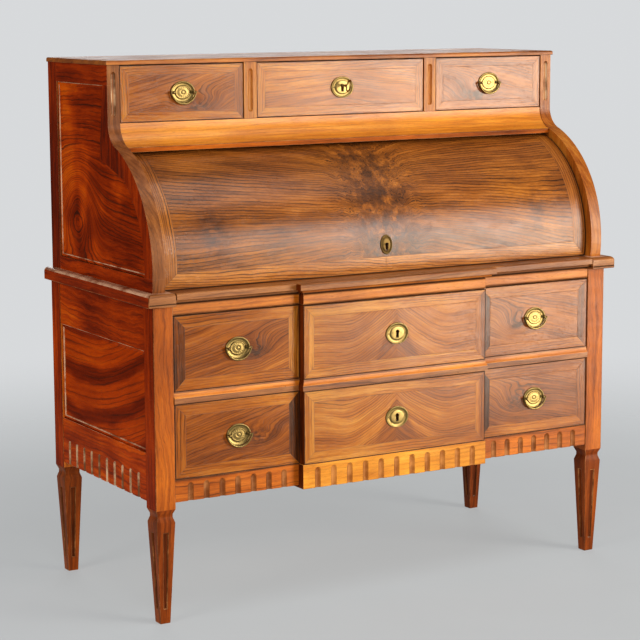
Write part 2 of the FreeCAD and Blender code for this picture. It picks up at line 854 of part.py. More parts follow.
def pull_posts(x, z, y_front, thickness):
    # Two posts through the drawer front, each with a drilled head in front and a square nut behind.
    posts = []
    y_head = y_front - pull_stand
    y_end = y_front + thickness + pull_nut_height
    half = pull_nut_size / 2
    for side in (-1, 1):
        x_post = x + side * pull_span / 2
        centre = Vec(x_post, y_head, z)
        post = Part.makeSphere(pull_head_radius, centre, Vec(0, 1, 0))
        post = post.fuse(Part.makeCylinder(pull_stem_radius, y_end - y_head, centre, Vec(0, 1, 0)))
        nut = box(x_post - half, x_post + half, y_end - pull_nut_height, y_end, z - half, z + half)
        eye_foot = Vec(x_post - side * pull_eye_slack, y_head, z)
        eye_radius = bail_pin_radius + bail_pin_clearance
        eye = Part.makeCylinder(eye_radius, pull_head_radius * 2, eye_foot, Vec(side, 0, 0))
        posts.append(post.fuse(nut).cut(eye))
    return posts


def stem_holes(x, z, y0, y1):
    radius = pull_stem_radius + pull_stem_clearance
    return [
        Part.makeCylinder(radius, y1 - y0, Vec(x + side * pull_span / 2, y0, z), Vec(0, 1, 0))
        for side in (-1, 1)
    ]


def pull_plate(x, z, y_front, thickness):
    plate = oval_plate(x, y_front, z, plate_width, plate_height, False)
    plate = cut_all(plate, stem_holes(x, z, y_front - plate_rise - 1, y_front + 1))
    return [plate] + pull_posts(x, z, y_front, thickness)


def bail(x, z, y_front):
    # Hanging loop on one arc, with a lug and an inward pin at each end.
    y_axis = y_front - pull_stand
    radius = (bail_half_width ** 2 + bail_drop ** 2) / (2 * bail_drop)
    z_centre = radius - bail_drop
    droop = math.asin(z_centre / radius)
    tangent = Vec(math.sin(droop), 0, -math.cos(droop))
    start = Vec(-bail_half_width, y_axis, 0)
    ring = Part.Face(Part.Wire(Part.makeCircle(bail_radius, start, tangent)))
    sweep = 180 - 2 * math.degrees(droop)
    loop = ring.revolve(Vec(0, y_axis, z_centre), Vec(0, -1, 0), sweep)
    reach = bail_half_width - pull_span / 2
    for side in (-1, 1):
        loop = loop.fuse(Part.makeSphere(bail_lug_radius, Vec(side * bail_half_width, y_axis, 0)))
        x_pin = pull_span / 2 if side > 0 else -bail_half_width
        loop = loop.fuse(Part.makeCylinder(bail_pin_radius, reach, Vec(x_pin, y_axis, 0), Vec(1, 0, 0)))
    loop.translate(Vec(x, 0, z))
    return loop


def drawer_walls(x0, x1, y0, y1, z0, height, wall, bottom):
    # Two sides, back and bottom behind a drawer front.
    z1 = z0 + height
    z_floor = z0 + bottom_lift
    return [
        box(x0, x0 + wall, y0, y1, z0, z1),
        box(x1 - wall, x1, y0, y1, z0, z1),
        box(x0 + wall, x1 - wall, y1 - wall, y1, z_floor + bottom, z1),
        box(x0 + wall, x1 - wall, y0, y1, z_floor, z_floor + bottom),
    ]


def long_drawer(z_opening):
    z0 = z_opening + runner_gap
    z1 = z_opening + long_opening - drawer_gap
    z_mid = z_opening + long_opening / 2
    half = x_bay - drawer_gap
    x_pull = (half_break + half) / 2
    y_inside = y_face + front_thickness
    y_middle = y_face - breakfront_depth
    front = breakfront([(0, z0), (0, z1)], y_face, y_inside, half, half_break)
    z_key = z_mid + key_offset
    cutters = [keyhole(y_middle - 1, y_inside + 1, z_key)]
    for side in (-1, 1):
        cutters += stem_holes(side * x_pull, z_mid, y_face - 1, y_inside + 1)
    half_box = half - long_box_inset
    y_rear = y_back_in - long_rear_gap
    height = long_side_height
    wall = long_side_thickness
    half_lock = lock_width / 2
    case = box(-half_lock, half_lock, y_inside, y_inside + lock_thickness, z_key - lock_below, z1)
    case = case.cut(keyhole(y_inside - 1, y_inside + lock_thickness - lock_wall, z_key))
    return {
        "front": [cut_all(front, cutters)],
        "box": drawer_walls(-half_box, half_box, y_inside, y_rear, z0, height, wall, long_bottom_thickness),
        "pull_plates": pull_plate(-x_pull, z_mid, y_face, front_thickness)
        + pull_plate(x_pull, z_mid, y_face, front_thickness),
        "lock": [oval_plate(0, y_middle, z_mid, plate_width, plate_height, True), case],
        "bails": [bail(-x_pull, z_mid, y_face), bail(x_pull, z_mid, y_face)],
    }


def top_drawer_front(x0, x1):
    z0 = z_bed + runner_gap
    z1 = z_under_top - drawer_gap
    return box(x0, x1, y_top_face, y_top_face + top_front_thickness, z0, z1)


def top_drawer_walls(x0, x1):
    y_inside = y_top_face + top_front_thickness
    y_rear = y_upper_back_in - top_rear_gap
    z0 = z_bed + runner_gap
    wall = top_side_thickness
    return drawer_walls(x0, x1, y_inside, y_rear, z0, top_side_height, wall, top_bottom_thickness)


def top_side_drawer(side):
    ends = [side * (x_partition + drawer_gap), side * (x_upper_in - drawer_gap)]
    x0 = min(ends)
    x1 = max(ends)
    x_mid = (x0 + x1) / 2
    z_mid = z_top_mid
    y_inside = y_top_face + top_front_thickness
    front = cut_all(top_drawer_front(x0, x1), stem_holes(x_mid, z_mid, y_top_face - 1, y_inside + 1))
    return {
        "front": [front],
        "box": top_drawer_walls(x0, x1),
        "pull_plate": pull_plate(x_mid, z_mid, y_top_face, top_front_thickness),
        "bail": [bail(x_mid, z_mid, y_top_face)],
    }


def bolt_box(room, slack):
    # Place of the lock's bolt at rest, with its top just under the drawer's upper edge.
    y_mid = y_top_face + top_front_thickness + lock_thickness / 2
    half = bolt_width / 2 + room
    depth = bolt_thickness / 2 + room
    z_low = z_top_key + key_bit_drop + key_room + bolt_slack + lock_wall
    return box(-half, half, y_mid - depth, y_mid + depth, z_low - slack, z_under_top - drawer_gap + room)


def top_middle_drawer():
    half = half_middle - drawer_gap
    y_inside = y_top_face + top_front_thickness
    z_key = z_top_key
    front = top_drawer_front(-half, half).cut(keyhole(y_top_face - 1, y_inside + 1, z_key))
    half_lock = lock_width / 2
    z_high = z_under_top - drawer_gap
    case = box(-half_lock, half_lock, y_inside, y_inside + lock_thickness, z_key - lock_below, z_high)
    radius = key_bit_drop + key_room
    room = Part.makeCylinder(radius, lock_thickness - lock_wall, Vec(0, y_inside, z_key), Vec(0, 1, 0))
    plate = oval_plate(0, y_top_face, z_top_mid, plate_width, plate_height, True)
    return {
        "front": [front],
        "box": top_drawer_walls(-half, half),
        "lock": [plate, cut_all(case, [room, bolt_box(bolt_gap, bolt_slack)])],
    }


def key():
    # Round shank with an oval bow in front and the bit inside the lock.
    z = z_top_key
    y_inside = y_top_face + top_front_thickness
    y_tip = y_inside + lock_thickness - lock_wall - key_room
    y_bow = y_top_face - plate_rise - key_stand
    shank = Part.makeCylinder(key_shank_radius, y_tip - y_bow, Vec(0, y_bow, z), Vec(0, 1, 0))
    bit = box(-key_bit_width / 2, key_bit_width / 2, y_tip - key_bit_length, y_tip, z - key_bit_drop, z)
    reach = key_bow_width / 2
    bow = Part.makeTorus(reach - key_bow_wire, key_bow_wire, Vec(0, 0, 0), Vec(1, 0, 0))
    oval = FreeCAD.Matrix()
    oval.scale(1.0, 1.0, key_bow_height / key_bow_width)
    bow = bow.transformGeometry(oval)
    bow.translate(Vec(0, y_bow - reach + key_bow_wire, z))
    whole = shank.fuse([bit, bow])
    whole.rotate(Vec(0, 0, z), Vec(0, 1, 0), key_rest_turn)
    return whole


def small_drawer(bay):
    # Drawer in the foot of one bay of the pigeonholes, with a turned knob.
    board = pigeonhole_board
    x0 = pigeonhole_upright(bay) + board + drawer_gap
    x1 = pigeonhole_upright(bay + 1) - drawer_gap
    y0 = axis_y + pigeonhole_front
    y_rear = y0 + pigeonhole_depth - pigeonhole_back - small_rear_gap
    z0 = z_waist + slide_gap + board + runner_gap
    z1 = z0 + small_opening - drawer_gap - runner_gap
    y_inside = y0 + small_front_thickness
    front = box(x0, x1, y0, y_inside, z0, z1)
    walls = drawer_walls(x0, x1, y_inside, y_rear, z0, z1 - z0 - drawer_gap, small_wall, small_wall)
    r = small_knob_radius
    length = small_knob_length
    points = [
        (0, 0),
        (r * 0.6, 0),
        (r * 0.45, -length * 0.4),
        (r, -length * 0.7) + (r * 0.55, -length * 0.95),
        (0, -length),
    ]
    knob = outline(points, lambda a, b: Vec(a, b, 0)).revolve(Vec(0, 0, 0), Vec(0, 1, 0), 360)
    knob.translate(Vec((x0 + x1) / 2, y0, (z0 + z1) / 2))
    return [front] + walls + [knob]


def desk():
    nodes = {}
    x_post = half_case - post_size / 2
    places = {"front": y_post + post_size / 2, "rear": y_back - post_size / 2}
    for depth, y in places.items():
        for side, x in (("left", -x_post), ("right", x_post)):
            nodes[f"corner_post_{depth}_{side}"] = [corner_post(x, y)]
    rails = side_rails()
    nodes["lower_side_rails"] = pair(rails[0]) + pair(rails[1])
    nodes["lower_side_panels"] = pair(lower_side_panel())
    nodes["lower_back_boards"] = stacked_boards(x_bay, y_back_in, y_back, z_apron, z_waist, back_boards)
    nodes["front_top_rail"] = [front_top_rail()]
    nodes["drawer_dividing_rail"] = [drawer_dividing_rail()]
    nodes["front_aprons"] = front_aprons()
    nodes["bottom_board"] = [bottom_board()]
    nodes["long_drawer_runners"] = long_drawer_runners()
    nodes["waist_ledges"] = pair(waist_ledge())
    nodes["slide_bearers"] = slide_bearers()
    nodes["rear_deck"] = [rear_deck()]
    frame = upper_side_frame()
    nodes["upper_side_frame_left"] = [mirrored(piece) for piece in frame]
    nodes["upper_side_frame_right"] = frame
    nodes["upper_side_panels"] = pair(upper_side_panel())
    nodes["upper_back_boards"] = stacked_boards(
        x_upper_in, y_upper_back_in, y_back, z_waist + slide_gap, z_under_top, back_boards
    )
    nodes["top_board"] = [top_board()]
    nodes["top_drawer_partitions"] = pair(top_partition())
    nodes["top_drawer_bed"] = [top_drawer_bed()]
    nodes["cove_frieze"] = [cove_frieze()]
    nodes["pigeonhole_case"] = pigeonhole_case()
    nodes["pivot_plates"] = pair(pivot_plate())
    nodes["cylinder_shell"] = [cylinder_shell()]
    nodes["cylinder_cheeks"] = pair(cylinder_cheek())
    nodes["cylinder_levers"] = pair(cylinder_lever())
    nodes["cylinder_escutcheon"] = [cylinder_escutcheon()]
    nodes["cylinder_lock"] = [cylinder_lock()]
    nodes["writing_slide_board"] = [writing_slide_board()]
    nodes["slide_front_edge"] = [slide_front_edge()]
    nodes["slide_slot_plates"] = pair(slide_slot_plate())
    for level, z in (("upper", z_upper), ("lower", z_lower)):
        pieces = long_drawer(z)
        for part in ("front", "box", "pull_plates", "lock"):
            nodes[f"long_drawer_{level}_{part}"] = pieces[part]
        nodes[f"long_drawer_{level}_bail_left"] = [pieces["bails"][0]]
        nodes[f"long_drawer_{level}_bail_right"] = [pieces["bails"][1]]
    for name, side in (("left", -1), ("right", 1)):
        for part, solids in top_side_drawer(side).items():
            nodes[f"top_drawer_{name}_{part}"] = solids
    for part, solids in top_middle_drawer().items():
        nodes[f"top_drawer_middle_{part}"] = solids
    nodes["lock_bolt"] = [bolt_box(0, 0)]
    nodes["key"] = [key()]
    nodes["small_drawer_left"] = small_drawer(0)
    nodes["small_drawer_right"] = small_drawer(pigeonhole_bays - 1)
    return nodes


def main():
    os.makedirs("parts", exist_ok=True)
    for name, solids in desk().items():
        shape = solids[0] if len(solids) == 1 else Part.Compound(solids)
        shape.exportStep(f"parts/{name}.step")


main()
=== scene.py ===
import bpy
import json
import math
from mathutils import Matrix, Vector

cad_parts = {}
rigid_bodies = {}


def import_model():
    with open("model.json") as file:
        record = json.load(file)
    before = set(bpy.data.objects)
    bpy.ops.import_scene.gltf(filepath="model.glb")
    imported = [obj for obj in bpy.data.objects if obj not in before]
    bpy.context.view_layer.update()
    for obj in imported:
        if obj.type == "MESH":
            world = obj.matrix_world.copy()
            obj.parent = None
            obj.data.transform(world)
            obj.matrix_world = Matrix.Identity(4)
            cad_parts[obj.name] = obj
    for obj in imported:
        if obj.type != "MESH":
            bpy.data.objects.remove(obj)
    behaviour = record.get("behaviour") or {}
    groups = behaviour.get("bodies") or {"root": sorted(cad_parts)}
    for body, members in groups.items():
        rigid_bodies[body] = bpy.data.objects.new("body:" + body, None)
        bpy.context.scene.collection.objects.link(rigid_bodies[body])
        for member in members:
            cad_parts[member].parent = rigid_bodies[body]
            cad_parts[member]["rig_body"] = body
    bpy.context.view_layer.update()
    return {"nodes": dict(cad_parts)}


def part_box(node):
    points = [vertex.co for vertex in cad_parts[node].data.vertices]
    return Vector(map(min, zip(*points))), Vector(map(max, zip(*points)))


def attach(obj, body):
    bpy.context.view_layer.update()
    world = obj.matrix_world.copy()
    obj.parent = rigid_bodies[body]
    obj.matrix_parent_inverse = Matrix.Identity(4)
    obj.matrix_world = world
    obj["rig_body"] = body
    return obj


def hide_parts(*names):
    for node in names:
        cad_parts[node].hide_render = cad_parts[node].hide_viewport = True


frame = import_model()
bpy.ops.object.select_all(action="DESELECT")
print("frame loaded:", len(frame["nodes"]), "nodes")


def dropAll():
    bpy.ops.object.select_all(action="DESELECT")


def pickAll():
    bpy.ops.mesh.select_all(action="SELECT")


def toMode(mode):
    bpy.ops.object.mode_set(mode=mode)


def smoothBy(degrees):
    bpy.ops.object.shade_smooth_by_angle(angle=math.radians(degrees))


# a shader socket that is added, scaled and taken away like a number

class nodeWire:
    def __init__(self, socket):
        self.socket = socket

    def __add__(self, other):
        return calc("ADD", self, other)

    def __radd__(self, other):
        return calc("ADD", other, self)

    def __sub__(self, other):
        return calc("SUBTRACT", self, other)

    def __rsub__(self, other):
        return calc("SUBTRACT", other, self)

    def __mul__(self, other):
        return calc("MULTIPLY", self, other)

    def __truediv__(self, other):
        return calc("DIVIDE", self, other)

    def __pow__(self, other):
        return calc("POWER", self, other)

    def __abs__(self):
        return calc("ABSOLUTE", self)


# a new node in the tree that the first wire among the values belongs to
def newNode(kind, *values):
    tree = next(value.socket.id_data for value in values if isinstance(value, nodeWire))
    return tree.nodes.new("ShaderNode" + kind)


def plug(value, socket):
    if isinstance(value, nodeWire):
        socket.id_data.links.new(value.socket, socket)
    else:
        socket.default_value = value


def plugAll(node, values, first=0):
    for index, value in enumerate(values):
        plug(value, node.inputs[first + index])


def plugNamed(node, values):
    for label, value in values.items():
        plug(value, node.inputs[label])


def calc(operation, *values):
    node = newNode("Math", *values)
    node.operation = operation
    plugAll(node, values)
    return nodeWire(node.outputs[0])


def remap(value, low, high, newLow=0.0, newHigh=1.0):
    node = newNode("MapRange", value)
    node.interpolation_type = "SMOOTHSTEP"
    plugAll(node, (value, low, high, newLow, newHigh))
    return nodeWire(node.outputs[0])


def mixColour(factor, first, second, mode="MIX"):
    node = newNode("Mix", factor, first, second)
    node.data_type = "RGBA"
    node.blend_type = mode
    plug(factor, node.inputs[0])
    plugAll(node, (first, second), 6)      # the colour pair of the Mix node
    return nodeWire(node.outputs[2])


def mixValue(factor, first, second):
    node = newNode("Mix", factor)
    plug(factor, node.inputs[0])
    plugAll(node, (first, second), 2)
    return nodeWire(node.outputs[0])


def splitVector(vector):
    node = newNode("SeparateXYZ", vector)
    plug(vector, node.inputs[0])
    return [nodeWire(socket) for socket in node.outputs]


def joinVector(*parts):
    node = newNode("CombineXYZ", *parts)
    plugAll(node, parts)
    return nodeWire(node.outputs[0])


def vectorCalc(operation, first, second):
    node = newNode("VectorMath", first, second)
    node.operation = operation
    plugAll(node, (first, second))
    return nodeWire(node.outputs[0])


def noiseAt(vector, stretch, detail=2.0, roughness=0.5):
    node = newNode("TexNoise", vector)
    plugNamed(node, {"Vector": vectorCalc("MULTIPLY", vector, stretch), "Scale": 1.0, "Detail": detail,
                     "Roughness": roughness})
    return nodeWire(node.outputs[0])


def bell(value, centre, width):
    away = (value - centre) / width
    return calc("EXPONENT", away * away * -1.0)


def startGroup(name, **takes):
    group = bpy.data.node_groups.new(name, "ShaderNodeTree")
    for label, start in takes.items():
        kind = "Float" if isinstance(start, float) else ("Vector" if len(start) == 3 else "Color")
        socket = group.interface.new_socket(label, in_out="INPUT", socket_type="NodeSocket" + kind)
        socket.default_value = start
    return group, {socket.name: nodeWire(socket) for socket in group.nodes.new("NodeGroupInput").outputs}


def endGroup(group, **gives):
    for label, value in gives.items():
        kind = "Color" if value.socket.type == "RGBA" else "Float"
        group.interface.new_socket(label, in_out="OUTPUT", socket_type="NodeSocket" + kind)
    plugNamed(group.nodes.new("NodeGroupOutput"), gives)
    return group


def useGroup(group, **values):
    node = newNode("Group", *values.values())
    node.node_tree = group
    plugNamed(node, values)
    return {socket.name: nodeWire(socket) for socket in node.outputs}


# walnut: broad bands, growth lines, streaks and pores, drawn along the first axis of Vector

def makeWalnutFigure():
    group, take = startGroup("walnutFigure", Vector=(0, 0, 0), Bend=0.0, Wander=0.01, Spacing=0.012,
                             Crowd=0.88, Seed=0.0)
    x, y, z = splitVector(take["Vector"])
    shift = joinVector(take["Seed"] * 3.1, take["Seed"] * 1.7, take["Seed"])
    start = vectorCalc("ADD", take["Vector"], shift)
    drift = noiseAt(start, (2.6, 5, 5), 1.0) - 0.5
    ripple = noiseAt(start, (18, 34, 34), 2.0) - 0.5
    drift += ripple * 0.26
    across = y + take["Bend"] + z * 0.55
    across += drift * (take["Wander"] * 5.0)
    laid = vectorCalc("ADD", joinVector(x, across, z), shift)
    broad = noiseAt(laid, (1.3, 13, 8), 2.0, 0.5)
    streak = noiseAt(laid, (6, 130, 60), 4.0, 0.6)
    fibre = noiseAt(laid, (45, 900, 500), 2.0)
    crowd = noiseAt(laid, (4.5, 48, 26), 2.0)
    phase = across / take["Spacing"] + broad * 5.0
    ring = calc("FRACT", phase)
    late = remap(ring, 0.62, 0.91) * remap(ring, 0.91, 1.0, 1.0, 0.0)      # soft side, sharp side
    cluster = remap(crowd, 0.36, 0.58)
    lines = late * ((cluster - 1.0) * take["Crowd"] + 1.0)
    shade = remap(broad, 0.25, 0.75) * 0.2 + 0.22
    shade += remap(streak, 0.28, 0.72) * 0.26
    shade += remap(fibre, 0.25, 0.75) * 0.16
    shade = shade + 0.045 - cluster * 0.09
    pores = remap(noiseAt(laid, (70, 1500, 900), 1.0), 0.6, 0.72)
    return endGroup(group, Shade=shade, Lines=lines, Pores=pores, Height=fibre - pores * 0.8)


# a picture-frame border: which band a point is in, the joints between bands, and the worn outer edge

def makeVeneerBand():
    group, take = startGroup("veneerBand", U=0.0, V=0.0, HalfWidth=0.2, HalfHeight=0.1, Band=0.027)
    fromEnd = take["HalfWidth"] - abs(take["U"])
    fromTop = take["HalfHeight"] - abs(take["V"])
    nearest = calc("MINIMUM", fromEnd, fromTop)
    band = calc("LESS_THAN", nearest, take["Band"])
    upright = band * calc("LESS_THAN", fromEnd, fromTop)
    inner = abs(nearest - take["Band"])
    mitre = abs(fromEnd - fromTop)
    mitreLine = band * remap(mitre, 0.0004, 0.0013, 1.0, 0.0)
    joint = calc("MAXIMUM", mitreLine, remap(inner, 0.0003, 0.001, 1.0, 0.0))
    edge = remap(nearest, 0.0, 0.005, 1.0, 0.0)
    return endGroup(group, Band=band, Upright=upright, Joint=joint, Edge=edge, Inward=nearest / take["Band"])


# old polish: darkened lines and pores, cloudy patches, uneven gloss

def makeOldPolish():
    group, take = startGroup("oldPolish", Vector=(0, 0, 0), Colour=(1, 1, 1, 1), Lines=0.0, Pores=0.0,
                             LineDepth=0.6, Gloss=0.3, Dirt=0.0)
    inLines = mixColour(0.62, mixColour(1.0, take["Colour"], (0.2, 0.2, 0.22, 1), "MULTIPLY"),
                        (0.032, 0.016, 0.01, 1))
    colour = mixColour(take["Lines"] * take["LineDepth"], take["Colour"], inLines)
    colour = mixColour(take["Pores"] * 0.45, colour, (0.03, 0.014, 0.007, 1))
    cloud = noiseAt(take["Vector"], (5, 5, 5), 3.0)
    tint = mixColour(remap(cloud, 0.3, 0.7), (0.85, 0.82, 0.88, 1), (1.1, 1.12, 0.96, 1))
    colour = mixColour(1.0, colour, tint, "MULTIPLY")
    # dark dirt, and the painted shade some materials lay in their gaps and rims
    colour = mixColour(take["Dirt"], colour, (0.022, 0.011, 0.006, 1))
    smear = remap(noiseAt(take["Vector"], (14, 14, 40), 4.0, 0.65), 0.3, 0.7, -0.03, 0.06)
    rough = take["Gloss"] + smear + take["Pores"] * 0.12 + take["Dirt"] * 0.6
    return endGroup(group, Colour=colour, Roughness=rough)


# small round worm holes, a few to the hand's breadth

def makeWormHoles():
    group, take = startGroup("wormHoles", Vector=(0, 0, 0), Amount=0.3)
    cells = newNode("TexVoronoi", take["Vector"])
    plugNamed(cells, {"Vector": take["Vector"], "Scale": 42.0})
    pick = splitVector(nodeWire(cells.outputs["Color"]))[0]
    chosen = calc("LESS_THAN", pick, take["Amount"])
    spot = remap(nodeWire(cells.outputs["Distance"]), 0.035, 0.06, 1.0, 0.0)
    return endGroup(group, Holes=spot * chosen)


# metal: tarnish that gathers in the hollows, rubbed bright on what stands proud

def makeAgedMetal():
    group, take = startGroup("agedMetal", Vector=(0, 0, 0), Hollow=0.5, Bright=(0.7, 0.5, 0.2, 1),
                             Dull=(0.2, 0.12, 0.04, 1), Gloss=0.3)
    patch = noiseAt(take["Vector"], (110, 110, 110), 4.0, 0.6)
    grime = remap(take["Hollow"], 0.4, 0.505, 1.0, 0.0)
    grime = calc("MAXIMUM", grime, remap(patch, 0.5, 0.78, 0.0, 0.45))
    scratch = noiseAt(take["Vector"], (2600, 300, 500), 2.0)
    colour = mixColour(grime, take["Bright"], take["Dull"])
    rough = take["Gloss"] + grime * 0.28 + remap(scratch, 0.4, 0.7) * 0.08
    return endGroup(group, Colour=colour, Roughness=rough, Height=scratch + patch * 0.6)


walnutFigure = makeWalnutFigure()
veneerBand = makeVeneerBand()
oldPolish = makeOldPolish()
wormHoles = makeWormHoles()
agedMetal = makeAgedMetal()
print("shared node groups made")


def newMaterial(name):
    material = bpy.data.materials.new(name)
    material.use_nodes = True
    nodes = material.node_tree.nodes
    return material, nodes["Principled BSDF"], nodeWire(nodes.new("ShaderNodeTexCoord").outputs["Object"])


def colourRamp(value, stops):
    node = newNode("ValToRGB", value)
    elements = node.color_ramp.elements
    while len(elements) < len(stops):
        elements.new(0.5)
    for element, (where, colour) in zip(elements, stops):
        element.position = where
        element.color = (*colour, 1.0)
    plug(value, node.inputs[0])
    return nodeWire(node.outputs[0])


def addBump(shader, height, strength, distance):
    node = newNode("Bump", height)
    plugNamed(node, {"Strength": strength, "Distance": distance, "Height": height})
    plugNamed(shader, {"Normal": nodeWire(node.outputs[0])})


def polishWood(shader, place, figure, colour, look, dirt=0.0):
    finish = useGroup(oldPolish, Vector=place, Colour=colour, Lines=figure["Lines"], Pores=figure["Pores"],
                      LineDepth=look["lineDepth"], Gloss=look["gloss"], Dirt=dirt)
    plugNamed(shader, {"Base Color": finish["Colour"], "Roughness": finish["Roughness"],
                       "Specular IOR Level": look["sheen"]})
    addBump(shader, figure["Height"], 0.16, 0.0004)


walnutStops = [(0.10, (0.088, 0.029, 0.008)), (0.36, (0.240, 0.064, 0.008)), (0.60, (0.390, 0.120, 0.014)),
               (0.90, (0.56, 0.236, 0.042))]
redStops = [(0.08, (0.076, 0.007, 0.0002)), (0.36, (0.240, 0.025, 0.0003)), (0.62, (0.425, 0.055, 0.0005)),
            (0.92, (0.63, 0.118, 0.002))]
orangeStops = [(0.08, (0.18, 0.038, 0.003)), (0.40, (0.40, 0.098, 0.008)), (0.65, (0.56, 0.155, 0.014)),
               (0.92, (0.68, 0.235, 0.032))]
amberStops = [(0.08, (0.26, 0.066, 0.005)), (0.40, (0.50, 0.145, 0.012)), (0.65, (0.64, 0.215, 0.022)),
              (0.92, (0.76, 0.310, 0.048))]
brownStops = [(0.08, (0.095, 0.028, 0.007)), (0.40, (0.235, 0.080, 0.022)), (0.65, (0.36, 0.140, 0.042)),
              (0.92, (0.50, 0.235, 0.090))]
goldStops = [(0.08, (0.36, 0.102, 0.010)), (0.40, (0.57, 0.196, 0.020)), (0.65, (0.71, 0.286, 0.033)),
             (0.92, (0.82, 0.398, 0.072))]
legStops = [(0.10, (0.060, 0.013, 0.002)), (0.40, (0.172, 0.036, 0.005)), (0.65, (0.285, 0.064, 0.008)),
            (0.92, (0.41, 0.112, 0.018))]
oakStops = [(0.10, (0.22, 0.115, 0.048)), (0.45, (0.36, 0.205, 0.095)), (0.90, (0.47, 0.300, 0.155))]
pineStops = [(0.10, (0.24, 0.105, 0.036)), (0.45, (0.40, 0.195, 0.075)), (0.90, (0.52, 0.290, 0.130))]


def plainWood(name, look):
    material, shader, place = newMaterial(name)
    x, y, z = splitVector(place)
    order = {"x": (x, z, y), "y": (y, z, x), "z": (z, x, y)}[look["grain"]]
    figure = useGroup(walnutFigure, Vector=joinVector(*order), Wander=look["wander"], Spacing=look["spacing"],
                      Seed=look["seed"])
    mottle = remap(noiseAt(place, (4, 4, 3), 2.0), 0.3, 0.7, look["tone"] - look["mottle"],
                   look["tone"] + look["mottle"])
    colour = colourRamp(figure["Shade"] + mottle, look["stops"])
    dirt = 0.0
    if look["worm"] > 0:
        dirt = useGroup(wormHoles, Vector=place, Amount=look["worm"])["Holes"]
    # painted shade and grime: dark lines in the crevices where the piece meets its neighbours
    for level in look["grimeAt"]:      # dark lines where the piece meets its neighbours
        dirt = calc("MAXIMUM", dirt, bell(z, level, look["grimeWidth"]) * 0.92)
    polishWood(shader, place, figure, colour, look, dirt)
    return material


plainLook = {"wander": 0.006, "spacing": 0.013, "lineDepth": 0.45, "gloss": 0.34, "sheen": 0.34, "tone": 0.0,
             "mottle": 0.06, "worm": 0.0, "grimeAt": (), "grimeWidth": 0.0016}


def wood(name, stops, grain, seed, **changes):
    return plainWood(name, {**plainLook, "stops": stops, "grain": grain, "seed": seed, **changes})


def levelsOf(node):
    low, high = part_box(node)
    return low.z, high.z


apronTop = levelsOf("front_aprons")[1]
ledgeFoot = levelsOf("slide_front_edge")[0]
fasciaFoot = ledgeFoot + 0.0075
ledgeShadow = ledgeFoot - 0.003      # just under what the ledge hides
redLook = {"gloss": 0.26, "sheen": 0.04}
oakLook = {"gloss": 0.6, "sheen": 0.25, "lineDepth": 0.3, "spacing": 0.009, "wander": 0.003}
pineLook = {"gloss": 0.68, "sheen": 0.25, "lineDepth": 0.4}
railWalnut = wood("railWalnut", orangeStops, "x", 1.3, worm=0.05, lineDepth=0.6, mottle=0.10, tone=-0.08,
                  sheen=0.22, grimeAt=(apronTop,))
railOrange = wood("railOrange", amberStops, "x", 1.8, worm=0.05, lineDepth=0.3, tone=-0.04,
                  grimeAt=(levelsOf("front_top_rail")[0], ledgeShadow), grimeWidth=0.0032)
# painted highlight: the sloping faces of the dividing rail take this brighter wood, its upright fascia the
# browner one
dividerOrange = wood("dividerOrange", amberStops, "x", 1.9, worm=0.05, lineDepth=0.3,
                     grimeAt=levelsOf("drawer_dividing_rail"))
railBrown = wood("railBrown", brownStops, "x", 2.6, worm=0.14, gloss=0.38, tone=0.02)
ledgeWalnut = wood("ledgeWalnut", brownStops, "x", 4.1, worm=0.16, gloss=0.38, tone=0.02,
                   grimeAt=(ledgeFoot,))
ledgePale = wood("ledgePale", brownStops, "x", 4.4, worm=0.22, gloss=0.40, tone=0.01)
ledgeOrange = wood("ledgeOrange", amberStops, "x", 4.5, worm=0.1, lineDepth=0.3, tone=-0.14,
                   grimeAt=(ledgeFoot, fasciaFoot), grimeWidth=0.0020)
sideLedgeWalnut = wood("sideLedgeWalnut", redStops, "y", 4.6, worm=0.1, gloss=0.30, sheen=0.06, tone=-0.04)
postWalnut = wood("postWalnut", orangeStops, "z", 2.2, wander=0.012, mottle=0.20, lineDepth=0.32,
                  spacing=0.010, sheen=0.22)
stileBrown = wood("stileBrown", brownStops, "z", 6.7, tone=-0.16, mottle=0.12, lineDepth=0.36, spacing=0.009,
                  sheen=0.22)
stileWalnut = wood("stileWalnut", walnutStops, "z", 6.9, tone=0.11, mottle=0.14, lineDepth=0.4, spacing=0.009)
redUpright = wood("redUpright", redStops, "z", 5.2, **redLook, tone=-0.15, mottle=0.12)
redRail = wood("redRail", redStops, "y", 7.4, **redLook, wander=0.012, tone=0.02, mottle=0.16)
redFrame = wood("redFrame", redStops, "y", 7.9, **redLook, wander=0.010, tone=-0.12, mottle=0.12)
legWalnut = wood("legWalnut", legStops, "z", 3.4, gloss=0.36, sheen=0.12)
# painted shade: a darker copy of the leg wood for the sunk channels of the legs
legSunk = wood("legSunk", legStops, "z", 3.8, gloss=0.5, sheen=0.08, tone=-0.26)
# painted shade: a dark copy of the walnut for the return faces at the step of the breakfront
returnWalnut = wood("returnWalnut", legStops, "z", 3.9, gloss=0.45, sheen=0.03, tone=-0.24)
goldenWalnut = wood("goldenWalnut", goldStops, "x", 9.1, wander=0.005, lineDepth=0.28, worm=0.05, tone=-0.08,
                    sheen=0.48)
lipWalnut = wood("lipWalnut", orangeStops, "x", 9.6, lineDepth=0.4, worm=0.10, tone=-0.24, mottle=0.14,
                 sheen=0.05)
apronGold = wood("apronGold", goldStops, "x", 10.3, wander=0.004, lineDepth=0.22, sheen=0.18)
topWalnut = wood("topWalnut", walnutStops, "x", 11.2, gloss=0.38)
slideWalnut = wood("slideWalnut", walnutStops, "x", 12.6, gloss=0.40)
caseWalnut = wood("caseWalnut", walnutStops, "x", 13.9, gloss=0.45, sheen=0.25)
caseUpright = wood("caseUpright", walnutStops, "z", 14.8, gloss=0.45, sheen=0.25)
oakWood = wood("oakWood", oakStops, "y", 15.5, **oakLook)
oakCross = wood("oakCross", oakStops, "x", 16.5, **oakLook)
